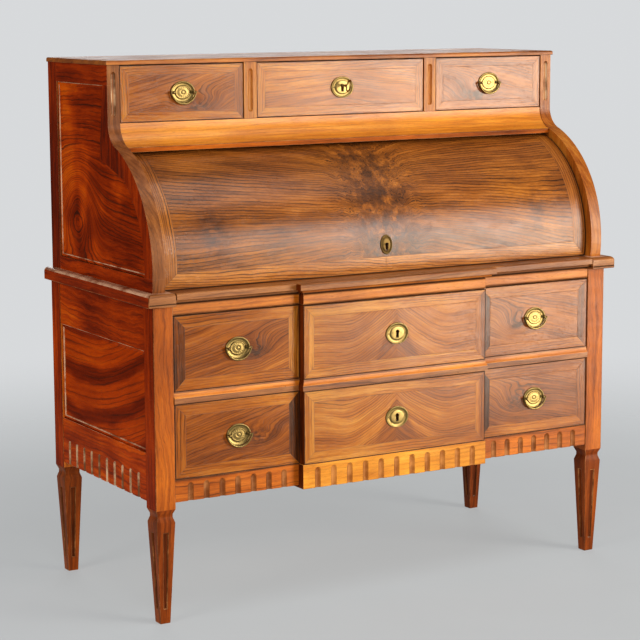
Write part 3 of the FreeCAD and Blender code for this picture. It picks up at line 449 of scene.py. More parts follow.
pineWood = wood("pineWood", pineStops, "x", 17.5, **pineLook, spacing=0.022, wander=0.008)
pineDark = wood("pineDark", pineStops, "x", 18.9, **pineLook, spacing=0.026, wander=0.010, tone=-0.10)
pinePale = wood("pinePale", pineStops, "x", 21.3, **pineLook, spacing=0.019, wander=0.006, tone=0.07)


# two woods mixed by noise: rubbed wear and dust on edges, and the painted shade and painted highlights named
# below
def wornWood(name, dark, pale, low, high, sheen=0.25):
    material, shader, place = newMaterial(name)
    twoToneMix = remap(noiseAt(place, (22, 22, 22), 4.0, 0.65), low, high)
    plugNamed(shader, {"Base Color": mixColour(twoToneMix, (*dark, 1), (*pale, 1)),
                       "Roughness": remap(twoToneMix, 0.0, 1.0, 0.3, 0.5), "Specular IOR Level": sheen})
    addBump(shader, noiseAt(place, (300, 300, 300), 3.0), 0.2, 0.0003)
    return material


wornEdge = wornWood("wornEdge", (0.14, 0.046, 0.012), (0.44, 0.19, 0.065), 0.42, 0.72)
# rubbed edges of the red sides, their pale share partly a painted highlight along the arrises
wornRed = wornWood("wornRed", (0.16, 0.042, 0.010), (0.60, 0.37, 0.23), 0.36, 0.60)
# painted shade: the eased arrises of the drawer fronts are dark as the shaded gaps round them
frontEdge = wornWood("frontEdge", (0.030, 0.010, 0.004), (0.13, 0.042, 0.012), 0.45, 0.75, 0.04)
fluteWood = wornWood("fluteWood", (0.19, 0.058, 0.013), (0.42, 0.17, 0.052), 0.34, 0.68)
# pale dust in the flutes, partly a painted highlight on their walls
fluteDust = wornWood("fluteDust", (0.17, 0.075, 0.030), (0.58, 0.39, 0.235), 0.40, 0.64)
# painted highlight: pale on the upward and forward faces of the side beads and on the side ledges' tops
beadGlint = wornWood("beadGlint", (0.26, 0.080, 0.030), (0.64, 0.38, 0.24), 0.32, 0.58)
oakEdge = wornWood("oakEdge", (0.20, 0.11, 0.05), (0.40, 0.26, 0.14), 0.36, 0.66)
pineEdge = wornWood("pineEdge", (0.035, 0.016, 0.008), (0.20, 0.10, 0.04), 0.40, 0.75)
fluteGold = wornWood("fluteGold", (0.30, 0.100, 0.018), (0.54, 0.225, 0.055), 0.34, 0.68)
print("plain woods made")


# drawer fronts: a field with a knot or a peaked figure, framed by mitred bands

def drawerVeneer(name, look):
    material, shader, place = newMaterial(name)
    x, y, z = splitVector(place)
    u = abs(x)
    side = calc("SIGN", x)
    onWing = calc("GREATER_THAN", u, look["breakAt"])
    u -= onWing * look["wingCentre"]
    v = z - look["middle"]
    halfWidth = look["middleHalf"] + onWing * (look["wingHalf"] - look["middleHalf"])
    band = useGroup(veneerBand, U=u, V=v, HalfWidth=halfWidth, HalfHeight=look["halfHeight"],
                    Band=look["band"])
    inField = 1.0 - band["Band"]
    knot = bell(u, look["knot"][0], look["knotSize"][0]) * bell(v, look["knot"][1], look["knotSize"][1])
    knot *= onWing * inField
    burr = knot ** 5.0 * remap(noiseAt(place, (90, 90, 90), 3.0), 0.4, 0.6)
    wingBend = knot * look["knotLift"] + u * look["slope"]
    fall = calc("EXPONENT", u * (-1.0 / look["peakWidth"]))
    middleBend = (1.0 - fall) * look["peak"]
    middleBend += bell(u, *look["valleyAt"]) * look["valley"]
    bend = mixValue(onWing, middleBend, wingBend) * inField
    along = mixValue(band["Upright"], x, z)
    across = mixValue(band["Upright"], v, x)
    depth = y + band["Band"] * 0.7
    figure = useGroup(walnutFigure, Vector=joinVector(along, across, depth), Bend=bend,
                      Wander=look["wander"] + knot * look["knotStir"], Spacing=look["spacing"],
                      Seed=look["seed"])
    # tones of the four upright bands of the wings; on the lower front the left inner band is darkened as a
    # painted shadow of the middle's step
    leftOuter, leftInner, rightInner, rightOuter = look["bandTones"]
    outer = calc("SIGN", u)
    lefts = mixValue(remap(outer, -0.5, 0.5), leftInner, leftOuter)
    rights = mixValue(remap(outer, -0.5, 0.5), rightInner, rightOuter)
    middleTone = remap(band["Inward"], 0.42, 0.58, *look["middleTones"])
    endTone = mixValue(onWing, middleTone, mixValue(remap(side, -0.5, 0.5), lefts, rights))
    tone = mixValue(band["Upright"], band["Band"] * look["railTone"], endTone)
    tone -= knot * look["knotDark"]
    tone -= burr * look["burrDark"]
    leftTone, centreTone, rightTone = look["areaTones"]
    tone += mixValue(onWing, centreTone, mixValue(remap(side, -0.5, 0.5), leftTone, rightTone))
    peakEdge = (look["halfHeight"] - look["band"] - v) * look["peakSpread"]
    peak = remap(peakEdge - u, -0.004, 0.012)
    peak *= inField * (1.0 - onWing)
    tone -= peak * look["peakDark"]
    # painted shade: the wood darkens towards the right, against the stronger sheen the lamps lay there
    pastBreak = calc("MAXIMUM", x + look["breakAt"], 0.0)
    tone -= pastBreak * look["rightFall"]
    tone += look["tone"]
    colour = colourRamp(figure["Shade"] + tone, look["stops"])
    worn = remap(noiseAt(place, (30, 30, 30), 3.0), 0.35, 0.7)
    dirt = calc("MAXIMUM", band["Joint"] * 0.36, band["Edge"] * worn * 0.4)
    # painted shade: a dark rim along the front's edge, standing for the shaded gap round it
    dirt = calc("MAXIMUM", dirt, remap(band["Inward"], 0.035, 0.095, 0.9, 0.0))
    # painted shade: the keyhole shows dark through the plate
    keyholeShade = bell(x, 0.0, look["keyhole"][0]) * bell(v, 0.0, look["keyhole"][1])      # dark behind the keyhole
    dirt = calc("MAXIMUM", dirt, remap(keyholeShade, 0.2, 0.5))
    polishWood(shader, place, figure, colour, look, dirt)
    return material


def drawerLook(node, **changes):
    low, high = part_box(node)
    look = {"stops": walnutStops, "middle": (low.z + high.z) / 2, "halfHeight": (high.z - low.z) / 2,
            "breakAt": 0.247, "wingCentre": 0.40375, "wingHalf": 0.15675, "middleHalf": 0.247, "band": 0.027,
            "slope": 0.26, "knot": (-0.050, -0.010), "knotSize": (0.045, 0.030), "knotLift": 0.026,
            "knotDark": 0.14, "knotStir": 0.026, "areaTones": (-0.01, 0.19, 0.22), "rightFall": 0.4,
            "peak": 0.070, "peakWidth": 0.075, "peakSpread": 0.55, "peakDark": 0.20, "valley": 0.018,
            "valleyAt": (0.125, 0.065), "burrDark": 0.34, "keyhole": (0.008, 0.014),
            "bandTones": (0.0, 0.0, 0.0, 0.0), "middleTones": (-0.18, 0.04), "railTone": 0.08, "tone": -0.02,
            "wander": 0.006, "spacing": 0.0066, "lineDepth": 0.8, "gloss": 0.21, "sheen": 0.30, "seed": 20.0}
    look.update(changes)
    return look


upperVeneer = drawerVeneer("upperVeneer", drawerLook(
    "long_drawer_upper_front", seed=21.3, bandTones=(-0.26, 0.16, -0.34, -0.04)))
# the left wing's dark inner band is a painted shadow cast by the middle's step
lowerVeneer = drawerVeneer("lowerVeneer", drawerLook(
    "long_drawer_lower_front", seed=24.8, bandTones=(0.05, -0.36, -0.42, 0.0), knot=(-0.050, -0.006),
    knotLift=0.036, knotSize=(0.06, 0.034)))
topVeneer = drawerVeneer("topVeneer", drawerLook(
    "top_drawer_middle_front", seed=27.7, breakAt=0.246, wingCentre=0.419, wingHalf=0.155, middleHalf=0.228,
    band=0.022, peak=0.03, peakWidth=0.2, peakDark=0.0, valley=0.0, slope=0.25, knot=(-0.04, -0.03),
    knotSize=(0.06, 0.03), knotDark=0.16, knotLift=0.02, tone=0.02, lineDepth=0.75, sheen=0.44,
    areaTones=(0.0, 0.06, 0.0), rightFall=0.10, bandTones=(0.06, -0.05, 0.06, 0.06),
    middleTones=(0.02, 0.08)))


# the cylinder's fan of figure, opening from a dark heart on the middle line

cylinderLook = {"axisY": 0.035, "axisZ": 0.778, "radius": 0.262, "halfWidth": 0.5735, "foot": -0.0405,
                "band": 0.037, "heart": 0.150, "lineDepth": 1.1, "gloss": 0.24, "sheen": 0.40,
                "spacing": 0.0075, "crowd": 0.45, "seed": 31.0, "spread": (0.6, 0.36), "fan": 0.55,
                "heartWidth": 0.085, "heartLift": 0.035, "curl": 0.16, "wander": 0.0045,
                "heartStir": 0.012, "heartDark": 0.34, "stainDark": 0.11, "smudge": (0.44, 0.075),
                "smudgeSize": (0.03, 0.055), "smudgeDark": 0.26, "endTone": 0.08, "lowTone": 0.25,
                "rimDirt": 0.92,
                "stops": [(0.08, (0.076, 0.029, 0.012)), (0.36, (0.20, 0.066, 0.014)),
                          (0.60, (0.365, 0.124, 0.022)), (0.92, (0.57, 0.232, 0.052))]}


def cylinderVeneerMaterial(look):
    material, shader, place = newMaterial("cylinderVeneer")
    x, y, z = splitVector(place)
    turn = calc("ARCTAN2", z - look["axisZ"], look["axisY"] - y)
    v = turn * look["radius"]
    u = abs(x)
    fromFoot = v - look["foot"] - 0.5
    band = useGroup(veneerBand, U=u, V=fromFoot, HalfWidth=look["halfWidth"], HalfHeight=0.5,
                    Band=look["band"])
    inField = 1.0 - band["Band"]
    spread = u * look["spread"][0] + look["spread"][1]
    fan = (v - look["heart"]) / spread * look["fan"]
    heart = bell(u, 0.0, look["heartWidth"])
    curl = noiseAt(place, (26, 30, 30), 3.0, 0.6) - 0.5
    fan += heart * curl * look["curl"]
    fan += heart * look["heartLift"]
    across = mixValue(band["Band"], fan, mixValue(band["Upright"], v, x))
    along = mixValue(band["Upright"], u, v)
    depth = x * 0.12 + band["Band"] * 0.6
    wander = heart * look["heartStir"] + look["wander"]
    figure = useGroup(walnutFigure, Vector=joinVector(along, across, depth), Wander=wander,
                      Spacing=look["spacing"], Crowd=look["crowd"], Seed=look["seed"])
    blot = remap(noiseAt(place, (48, 34, 36), 4.0, 0.62), 0.34, 0.6)
    heartFigure = heart * blot * inField
    stain = remap(noiseAt(place, (5, 8, 9), 3.0), 0.52, 0.68) * inField
    tone = stain * -look["stainDark"] - heartFigure * look["heartDark"]
    lowBand = band["Band"] - band["Upright"]
    smudge = bell(u, look["smudge"][0], look["smudgeSize"][0])
    smudge *= bell(v, look["smudge"][1], look["smudgeSize"][1])
    tone -= smudge * blot * look["smudgeDark"]
    tone = tone + band["Upright"] * look["endTone"] + lowBand * look["lowTone"]
    colour = colourRamp(figure["Shade"] + tone, look["stops"])
    butt = lowBand * remap(u, 0.0004, 0.0012, 1.0, 0.0)
    dirt = calc("MAXIMUM", band["Joint"], butt) * 0.35
    # painted shade: dark along the shell's ends and foot, where it meets the frame
    dirt = calc("MAXIMUM", dirt, remap(band["Inward"], 0.03, 0.1, look["rimDirt"], 0.0) * band["Band"])
    polishWood(shader, place, figure, colour, look, dirt)
    return material


cylinderVeneer = cylinderVeneerMaterial(cylinderLook)


# side panels: sweeping light and dark bands below, a loop round a knot above

lowerPanelLook = {"rear": 0.244, "depth": 0.45, "level": 0.35, "rise": 0.16, "period": 0.095, "wander": 0.006,
                  "spacing": 0.014, "seed": 41.0, "lineDepth": 0.6, "gloss": 0.24, "sheen": 0.03}


def lowerPanelMaterial(look):
    material, shader, place = newMaterial("lowerPanelVeneer")
    x, y, z = splitVector(place)
    ahead = (look["rear"] - y) / look["depth"]
    ahead = calc("MAXIMUM", ahead - look["level"], 0.0)
    sag = ahead ** 1.6 * look["rise"]
    across = z - sag
    figure = useGroup(walnutFigure, Vector=joinVector(y, across, x), Wander=look["wander"],
                      Spacing=look["spacing"], Seed=look["seed"])
    sway = noiseAt(place, (3, 5, 3), 2.0)
    wave = calc("SINE", across * (math.tau / look["period"]) + sway * 5.0)
    shade = remap(wave, -1.0, 0.1, -0.02, 0.3) + figure["Shade"] * 0.6
    colour = colourRamp(shade, redStops)
    polishWood(shader, place, figure, colour, look)
    return material


upperPanelLook = {"knot": (0.150, 0.895), "knotSize": (0.085, 0.095), "lift": -0.15, "core": (0.022, 0.05),
                  "coreDark": 0.35, "wander": 0.008, "stir": 0.016, "spacing": 0.012, "seed": 44.0,
                  "lineDepth": 0.75, "gloss": 0.24, "sheen": 0.03}


def upperPanelMaterial(look):
    material, shader, place = newMaterial("upperPanelVeneer")
    x, y, z = splitVector(place)
    knot = bell(y, look["knot"][0], look["knotSize"][0]) * bell(z, look["knot"][1], look["knotSize"][1])
    bend = knot * look["lift"]
    figure = useGroup(walnutFigure, Vector=joinVector(y, z, x), Bend=bend,
                      Wander=knot * look["stir"] + look["wander"], Spacing=look["spacing"], Seed=look["seed"])
    core = bell(y, look["knot"][0], look["core"][0]) * bell(z, look["knot"][1], look["core"][1])
    glow = remap(noiseAt(place, (4, 6, 5), 3.0), 0.42, 0.66, -0.14, 0.28)
    shade = figure["Shade"] - core * look["coreDark"] + glow
    colour = colourRamp(shade, redStops)
    polishWood(shader, place, figure, colour, look)
    return material


lowerPanelVeneer = lowerPanelMaterial(lowerPanelLook)
upperPanelVeneer = upperPanelMaterial(upperPanelLook)
print("veneers made")


def metal(name, look):
    material, shader, place = newMaterial(name)
    hollow = nodeWire(newNode("NewGeometry", place).outputs["Pointiness"])
    aged = useGroup(agedMetal, Vector=place, Hollow=hollow, Bright=(*look["bright"], 1),
                    Dull=(*look["dull"], 1), Gloss=look["gloss"])
    plugNamed(shader, {"Base Color": aged["Colour"], "Roughness": aged["Roughness"], "Metallic": 1.0})
    addBump(shader, aged["Height"], 0.06, 0.0002)
    return material


agedBrass = metal("agedBrass", {"bright": (0.255, 0.180, 0.069), "dull": (0.036, 0.022, 0.007),
                                "gloss": 0.29})
darkBrass = metal("darkBrass", {"bright": (0.17, 0.108, 0.040), "dull": (0.030, 0.018, 0.007), "gloss": 0.48})
keyBrass = metal("keyBrass", {"bright": (0.34, 0.23, 0.09), "dull": (0.07, 0.045, 0.016), "gloss": 0.30})
oldIron = metal("oldIron", {"bright": (0.10, 0.095, 0.09), "dull": (0.045, 0.028, 0.018), "gloss": 0.42})
rubbedIron = metal("rubbedIron", {"bright": (0.22, 0.21, 0.20), "dull": (0.08, 0.06, 0.045), "gloss": 0.34})
print("metals made")


# wooden pieces: the solid's mesh merged, its arrises eased, each face given its wood

mergeGap = 0.00001
fineGap = 0.000005         # for the fittings
justInside = 0.0001
flatAngle = 0.3
arrisAngle = 38
smoothAngle = 35
roundAngle = 40


# triangles become closed solids; where solids touch, split tells them apart by a point just inside each face
def mergeSolids(piece, split):
    if split is None:
        bpy.ops.mesh.remove_doubles(threshold=mergeGap)
        return
    toMode("OBJECT")
    owners = [split(face.center - face.normal * justInside) for face in piece.data.polygons]
    for owner in sorted(set(owners)):
        toMode("EDIT")
        bpy.ops.mesh.select_mode(type="FACE")
        bpy.ops.mesh.select_all(action="DESELECT")
        toMode("OBJECT")
        for face, mine in zip(piece.data.polygons, owners):
            face.select = mine == owner
        toMode("EDIT")
        bpy.ops.mesh.split()
        bpy.ops.mesh.remove_doubles(threshold=mergeGap)
        toMode("OBJECT")
        owners = [split(face.center - face.normal * justInside) for face in piece.data.polygons]
    toMode("EDIT")


frameJoints = {"rear": 0.245, "high": 1.1742, "low": 0.767}
apronLook = {"joint": 0.25, "middle": 0.2505, "return": 0.2495, "near": 0.0012, "floor": 0.0012,
             "wall": (0.0008, 0.0045), "fluteTop": 0.335}


def frameSolid(place):
    if place.y > frameJoints["rear"]:
        return "rearStile"
    if place.z > frameJoints["high"]:
        return "topRail"
    return "bottomRail" if place.z < frameJoints["low"] else "frontStile"


def apronSolid(place):
    return "middle" if abs(place.x) < apronLook["joint"] else ("left" if place.x < 0 else "right")


def plainName(node):
    words = node.split("_")
    return words[0] + "".join(word.title() for word in words[1:])


def dressNode(node, materials, choose=None, ease=0.0008, split=None, name=None):
    source = frame["nodes"][node]
    piece = bpy.data.objects.new(name or plainName(node), source.data.copy())
    bpy.context.scene.collection.objects.link(piece)
    dropAll()
    bpy.context.view_layer.objects.active = piece
    piece.select_set(True)
    piece.data.materials.clear()
    for material in materials:
        piece.data.materials.append(material)
    toMode("EDIT")
    pickAll()
    bpy.ops.mesh.customdata_custom_splitnormals_clear()
    mergeSolids(piece, split)
    pickAll()
    bpy.ops.mesh.dissolve_limited(angle_limit=math.radians(flatAngle))
    toMode("OBJECT")
    for face in piece.data.polygons:
        face.material_index = 0
    bpy.ops.object.modifier_add(type="BEVEL")
    bevel = piece.modifiers[-1]
    bevel.width = ease
    bevel.segments = 2
    bevel.limit_method = "ANGLE"
    bevel.angle_limit = math.radians(arrisAngle)
    bevel.use_clamp_overlap = True
    bevel.material = 1
    bpy.ops.object.modifier_apply(modifier=bevel.name)
    if choose:
        for face in piece.data.polygons:
            if face.material_index != 1:
                face.material_index = choose(face.center, face.normal)
    smoothBy(smoothAngle)
    bpy.ops.object.modifier_add(type="WEIGHTED_NORMAL")      # large flats keep their own normal
    piece.modifiers[-1].keep_sharp = True
    bpy.ops.object.modifier_apply(modifier=piece.modifiers[-1].name)
    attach(piece, source["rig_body"])
    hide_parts(node)
    return piece


def facesOut(normal):
    return abs(normal.x) > 0.7


breakHalf = 0.3          # past the step from middle to wing on either hand
breakDepth = 0.020
outerSide = 0.6
blockRear = -0.2         # the ledge's corner blocks lie ahead of this
pilasterFlute = {"foot": 1.05, "depth": (0.0012, 0.006)}
sideFlute = {"top": 0.39, "depth": (0.0003, 0.006)}
panelOut = 0.58
slideStep = 0.255
slideBead = 0.722


# where the middle of the front steps back to its wings
def breakReturn(centre, normal):
    return facesOut(normal) and abs(centre.x) < breakHalf


legTaper = {"top": 0.262, "foot": 0.0125, "grow": 0.0105 / 0.215, "axisX": 0.586, "front": -0.230,
            "rear": 0.268, "channel": (0.02, 0.205), "rim": 0.0006}


def postFace(centre, normal):
    if centre.z < legTaper["top"]:
        ahead = legTaper["front"] if centre.y < 0 else legTaper["rear"]
        reach = max(abs(abs(centre.x) - legTaper["axisX"]), abs(centre.y - ahead))
        low, high = legTaper["channel"]
        half = legTaper["foot"] + legTaper["grow"] * centre.z
        return 4 if low < centre.z < high and reach < half - legTaper["rim"] else 3
    return 2 if facesOut(normal) and abs(centre.x) > outerSide else 0


def frameFace(centre, normal):
    if facesOut(normal) and abs(centre.x) > outerSide:
        return 3 if "Rail" in frameSolid(centre) else 2
    # in the pilaster's flute the side walls take the pale dust and painted highlight, the floor the plainer
    # wood
    if normal.y < 0.5 and sunkFlute(centre):
        return 4 if abs(normal.x) > 0.3 else 5
    return 0


# the flute of the pilaster lies behind its face
def sunkFlute(centre):
    low, high = pilasterFlute["depth"]
    return centre.z > pilasterFlute["foot"] and pilasterFace + low < centre.y < pilasterFace + high


# the side ledges take a painted highlight on their upward faces
def ledgeFace(centre, normal):
    if centre.y < blockRear:
        return 0
    return 3 if normal.z > 0.4 else 2


def apronFace(centre, normal):
    middle = abs(centre.x) < apronLook["middle"]
    if breakReturn(centre, normal) and abs(abs(centre.x) - apronLook["return"]) < apronLook["near"]:
        return 5
    front = middleFace if middle else wingFace
    floor = normal.y < -0.5 and centre.y > front + apronLook["floor"]
    low, high = apronLook["wall"]
    wall = abs(normal.y) < 0.5 and front + low < centre.y < front + high and centre.z < apronLook["fluteTop"]
    if floor or wall:
        return 4 if middle else 3
    return 2 if middle else 0


# flutes show pale dust and a painted highlight on their lit walls
def sideRailFace(centre, normal):
    depth = sideFace - abs(centre.x)
    low, high = sideFlute["depth"]
    lit = normal.y < -0.3 or abs(normal.z) > 0.3
    return 2 if lit and centre.z < sideFlute["top"] and low < depth < high else 0


# painted highlight on the upward and forward faces of the side beads
def panelFace(centre, normal):
    lit = (normal.z > 0.2 or normal.y < -0.2) and abs(normal.x) > 0.1
    return 2 if lit and abs(centre.x) > panelOut else 0


def edgeFace(centre, normal):
    if breakReturn(centre, normal):
        return 4
    if abs(centre.x) > slideStep:
        return 0
    return 2 if centre.z < slideBead and normal.y < -0.05 else 3


# painted highlight: sloping faces get the brighter wood
def slopeFace(centre, normal):
    if breakReturn(centre, normal):
        return 3
    return 2 if abs(normal.z) > 0.15 else 0


def railFace(centre, normal):
    return 2 if breakReturn(centre, normal) else 0


# a drawer front has plain wood behind its veneer
def frontFace(centre, normal):
    if breakReturn(centre, normal):
        return 2
    return 3 if normal.y > -0.5 else 0


def lipFace(centre, normal):
    return 2 if centre.z < coveFoot + lipHeight else 0


lipHeight = 0.0112
coveFoot = levelsOf("cove_frieze")[0]
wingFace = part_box("front_aprons")[0].y + breakDepth
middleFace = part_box("front_aprons")[0].y
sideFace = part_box("lower_side_rails")[1].x
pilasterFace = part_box("top_drawer_partitions")[0].y

for end in ("front", "rear"):
    for hand in ("left", "right"):
        dressNode(f"corner_post_{end}_{hand}",
                  [postWalnut, wornEdge, redUpright, legWalnut, legSunk],
                  postFace, 0.0012, name=f"{end}{hand.title()}Post")
for hand, stile in (("left", stileBrown), ("right", stileWalnut)):
    dressNode(f"upper_side_frame_{hand}",
              [stile, wornRed, redUpright, redFrame, fluteDust, fluteWood],
              frameFace, 0.0014, frameSolid, f"{hand}UpperFrame")
dressNode("lower_side_rails", [redRail, wornRed, fluteDust], sideRailFace, 0.0010)
for level, veneer in (("lower", lowerPanelVeneer), ("upper", upperPanelVeneer)):
    dressNode(f"{level}_side_panels", [veneer, wornRed, beadGlint], panelFace)
dressNode("front_top_rail", [railOrange, wornEdge, returnWalnut], railFace)
dressNode("drawer_dividing_rail", [railBrown, wornEdge, dividerOrange, returnWalnut], slopeFace,
          name="dividingRail")
dressNode("front_aprons", [railWalnut, wornEdge, apronGold, fluteWood, fluteGold, returnWalnut],
          apronFace, 0.0015, apronSolid, "flutedAprons")
dressNode("waist_ledges", [ledgeWalnut, wornEdge, sideLedgeWalnut, beadGlint], ledgeFace, 0.0015)
dressNode("top_board", [topWalnut, wornEdge], None, 0.0010)
dressNode("top_drawer_partitions", [stileWalnut, wornEdge], name="topPartitions")
dressNode("cove_frieze", [goldenWalnut, wornEdge, lipWalnut], lipFace, 0.0010)
dressNode("cylinder_shell", [cylinderVeneer, wornEdge], None, 0.0010)
dressNode("slide_front_edge", [ledgeWalnut, wornEdge, ledgeOrange, ledgePale, returnWalnut],
          edgeFace, 0.0012, name="slideEdge")
dressNode("writing_slide_board", [slideWalnut, wornEdge], None, 0.0010, name="slideBoard")
for row, veneer in (("upper", upperVeneer), ("lower", lowerVeneer)):
    dressNode(f"long_drawer_{row}_front", [veneer, frontEdge, returnWalnut, caseWalnut],
              frontFace, 0.0010, name=f"{row}DrawerFront")
for hand in ("left", "middle", "right"):
    dressNode(f"top_drawer_{hand}_front", [topVeneer, frontEdge, caseWalnut, caseWalnut],
              frontFace, 0.0010, name=f"{hand}TopFront")
print("wooden pieces dressed")


# steps shared by the fittings that are modelled one by one

def startPiece(name):
    piece = bpy.context.active_object
    piece.name = name
    bpy.ops.object.transform_apply(location=True, rotation=True, scale=True)
    return piece


def onlySelect(*pieces):
    dropAll()
    for piece in pieces:
        piece.select_set(True)
    bpy.context.view_layer.objects.active = pieces[0]


def editPiece(piece):
    onlySelect(piece)
    toMode("EDIT")
    bpy.ops.mesh.select_mode(type="VERT")
    pickAll()


def pickVerts(piece, test):
    bpy.ops.mesh.select_all(action="DESELECT")
    toMode("OBJECT")
    for vertex in piece.data.vertices:
        vertex.select = test(vertex.co)
    toMode("EDIT")


def closePiece(smooth=roundAngle):
    pickAll()
    bpy.ops.mesh.remove_doubles(threshold=fineGap)
    bpy.ops.mesh.normals_make_consistent(inside=False)
    toMode("OBJECT")
    smoothBy(smooth)


# a turned piece along Y: a round face drawn out and drawn in, step by step
def turned(name, steps, sides=24):
    radius, start = steps[0]
    dropAll()
    bpy.ops.mesh.primitive_circle_add(vertices=sides, radius=radius, fill_type="NGON",
                                      rotation=(math.pi / 2, 0, 0), location=(0, start, 0))
    piece = startPiece(name)
    editPiece(piece)
    for (before, here), (after, there) in zip(steps, steps[1:]):
        bpy.ops.mesh.extrude_region_move(TRANSFORM_OT_translate={"value": (0, there - here, 0)})
        bpy.ops.transform.resize(value=(after / before, 1, after / before), center_override=(0, there, 0))
    closePiece()
    return piece


def block(name, low, high, ease):
    size = [top - foot for foot, top in zip(low, high)]
    middle = [(top + foot) / 2 for foot, top in zip(low, high)]
    dropAll()
    bpy.ops.mesh.primitive_cube_add(size=1, location=middle, scale=size)
    piece = startPiece(name)
    if ease > 0:
        editPiece(piece)
        bpy.ops.mesh.bevel(offset=ease, segments=2, affect="EDGES")
        closePiece(30)
    return piece


def cutWith(piece, cutter):
    onlySelect(piece)
    bpy.ops.object.modifier_add(type="BOOLEAN")
    tool = piece.modifiers[-1]
    tool.operation = "DIFFERENCE"
    tool.solver = "EXACT"
    tool.object = cutter
    bpy.ops.object.modifier_apply(modifier=tool.name)
    bpy.data.objects.remove(cutter)


def joinPieces(name, pieces):
    onlySelect(*pieces)
    bpy.ops.object.join()
    pieces[0].name = name
    return pieces[0]


def copyTo(piece, name, place, turn=(0, 0, 0)):
    onlySelect(piece)
    bpy.ops.object.duplicate(linked=False)
    copy = bpy.context.active_object
    copy.location = place
    copy.rotation_euler = turn
    return startPiece(name)


def leftAndRight(piece, reach, leftTurn=(0, 0, 0), rightTurn=(0, 0, 0)):
    pair = [copyTo(piece, "left", (-reach, 0, 0), leftTurn), copyTo(piece, "right", (reach, 0, 0), rightTurn)]
    bpy.data.objects.remove(piece)
    return pair


def fitPiece(piece, node):
    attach(piece, frame["nodes"][node]["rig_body"])
    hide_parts(node)


def giveMaterial(piece, material):
    piece.data.materials.clear()
    piece.data.materials.append(material)


# the oval dish: rolled rim, hollow, beaded step and raised middle; each step is (inwards, forwards)

dishLook = {"width": 0.062, "height": 0.050, "sides": 96, "edge": 0.0008,
            "rim": [(0.0004, 0.0009), (0.0007, 0.0006), (0.0010, 0.0003), (0.0010, -0.0001),
                    (0.0009, -0.0004), (0.0003, -0.0005)],
            "hollow": [(0.0014, -0.0004), (0.0016, -0.0003), (0.0020, -0.0001), (0.0014, 0.0)],
            "bead": [(0.0006, -0.0007), (0.0005, 0.0), (0.0003, 0.0010)],
            "medallion": [(0.0006, 0.0006), (0.0010, 0.0002), (0.0012, -0.0003), (0.0030, 0.0003),
                          (0.0040, 0.0002), (0.0030, 0.0001), (0.0010, -0.0003), (0.0006, 0.0004),
                          (0.0014, 0.0002)],
            "keyed": [(0.0005, 0.0009), (0.0010, 0.0004), (0.0030, 0.0002), (0.0040, 0.0001)],
            "petals": 16, "petalDip": 0.00022, "veins": (0.0065, 0.0148)}


def ovalDish(name, look, steps):
    dropAll()
    bpy.ops.mesh.primitive_circle_add(vertices=look["sides"], radius=look["width"] / 2, fill_type="NGON",
                                      rotation=(math.pi / 2, 0, 0))
    dish = startPiece(name)
    editPiece(dish)
    bpy.ops.mesh.extrude_region_move(TRANSFORM_OT_translate={"value": (0, -look["edge"], 0)})
    for inwards, forwards in steps:
        bpy.ops.mesh.inset(thickness=inwards, depth=forwards)
    bpy.ops.mesh.poke()
    return dish


def drawOval(look):
    pickAll()
    bpy.ops.transform.resize(value=(1, 1, look["height"] / look["width"]), center_override=(0, 0, 0))
    closePiece()


def pullDish(look):
    dish = ovalDish("pullDish", look, look["rim"] + look["hollow"] + look["bead"] + look["medallion"])

    inner, outer = look["veins"]

    def betweenPetals(spot):
        away = math.hypot(spot.x, spot.z)
        turn = math.atan2(spot.z, spot.x) / math.tau * look["petals"]
        return inner < away < outer and abs(turn - round(turn)) < 0.02

    pickVerts(dish, betweenPetals)
    bpy.ops.transform.translate(value=(0, look["petalDip"], 0))      # veins of a plain rosette
    drawOval(look)
    return dish


# a post: square nut, stem, collar and drilled round head

postLook = {"stem": 0.0020, "collar": 0.0031, "head": 0.0038, "stand": 0.0070, "nut": 0.0045,
            "nutDepth": 0.0040, "eye": 0.00143, "slack": 0.0006, "apart": 0.025}


def pullPost(look, thickness):
    end = thickness + look["nutDepth"]
    steps = [(look["stem"] * 0.8, end), (look["stem"], end - 0.0005), (look["stem"], -0.0008),
             (look["collar"], -0.0009), (look["collar"], -0.0019), (look["stem"] * 1.15, -0.0024)]
    for degrees in range(-52, 85, 12):
        angle = math.radians(degrees)
        steps.append((look["head"] * math.cos(angle), -look["stand"] - look["head"] * math.sin(angle)))
    post = turned("pullPost", steps)
    eye = turned("eyeCutter", [(look["eye"], 0.0), (look["eye"], -0.0076)], 20)
    cutWith(post, copyTo(eye, "eyeDrill", (-look["slack"], -look["stand"], 0), (0, 0, math.pi / 2)))
    bpy.data.objects.remove(eye)
    nut = block("pullNut", (-look["nut"], thickness, -look["nut"]), (look["nut"], end - 0.0004, look["nut"]),
                0.0006)
    return joinPieces("pullPost", [post, nut])


def makePull(thickness):
    posts = leftAndRight(pullPost(postLook, thickness), postLook["apart"], (0, math.pi, 0))
    return joinPieces("pull", [pullDish(dishLook)] + posts)


# the bail: a round rod spun along one arc, thicker at the bottom, with a ball and a pin at each end

bailLook = {"halfWidth": 0.0311, "drop": 0.026, "thin": 0.0016, "thick": 0.0023, "lug": 0.0021,
            "pin": 0.00135, "reach": 0.0065, "rise": 0.0024, "steps": 44, "sides": 14}


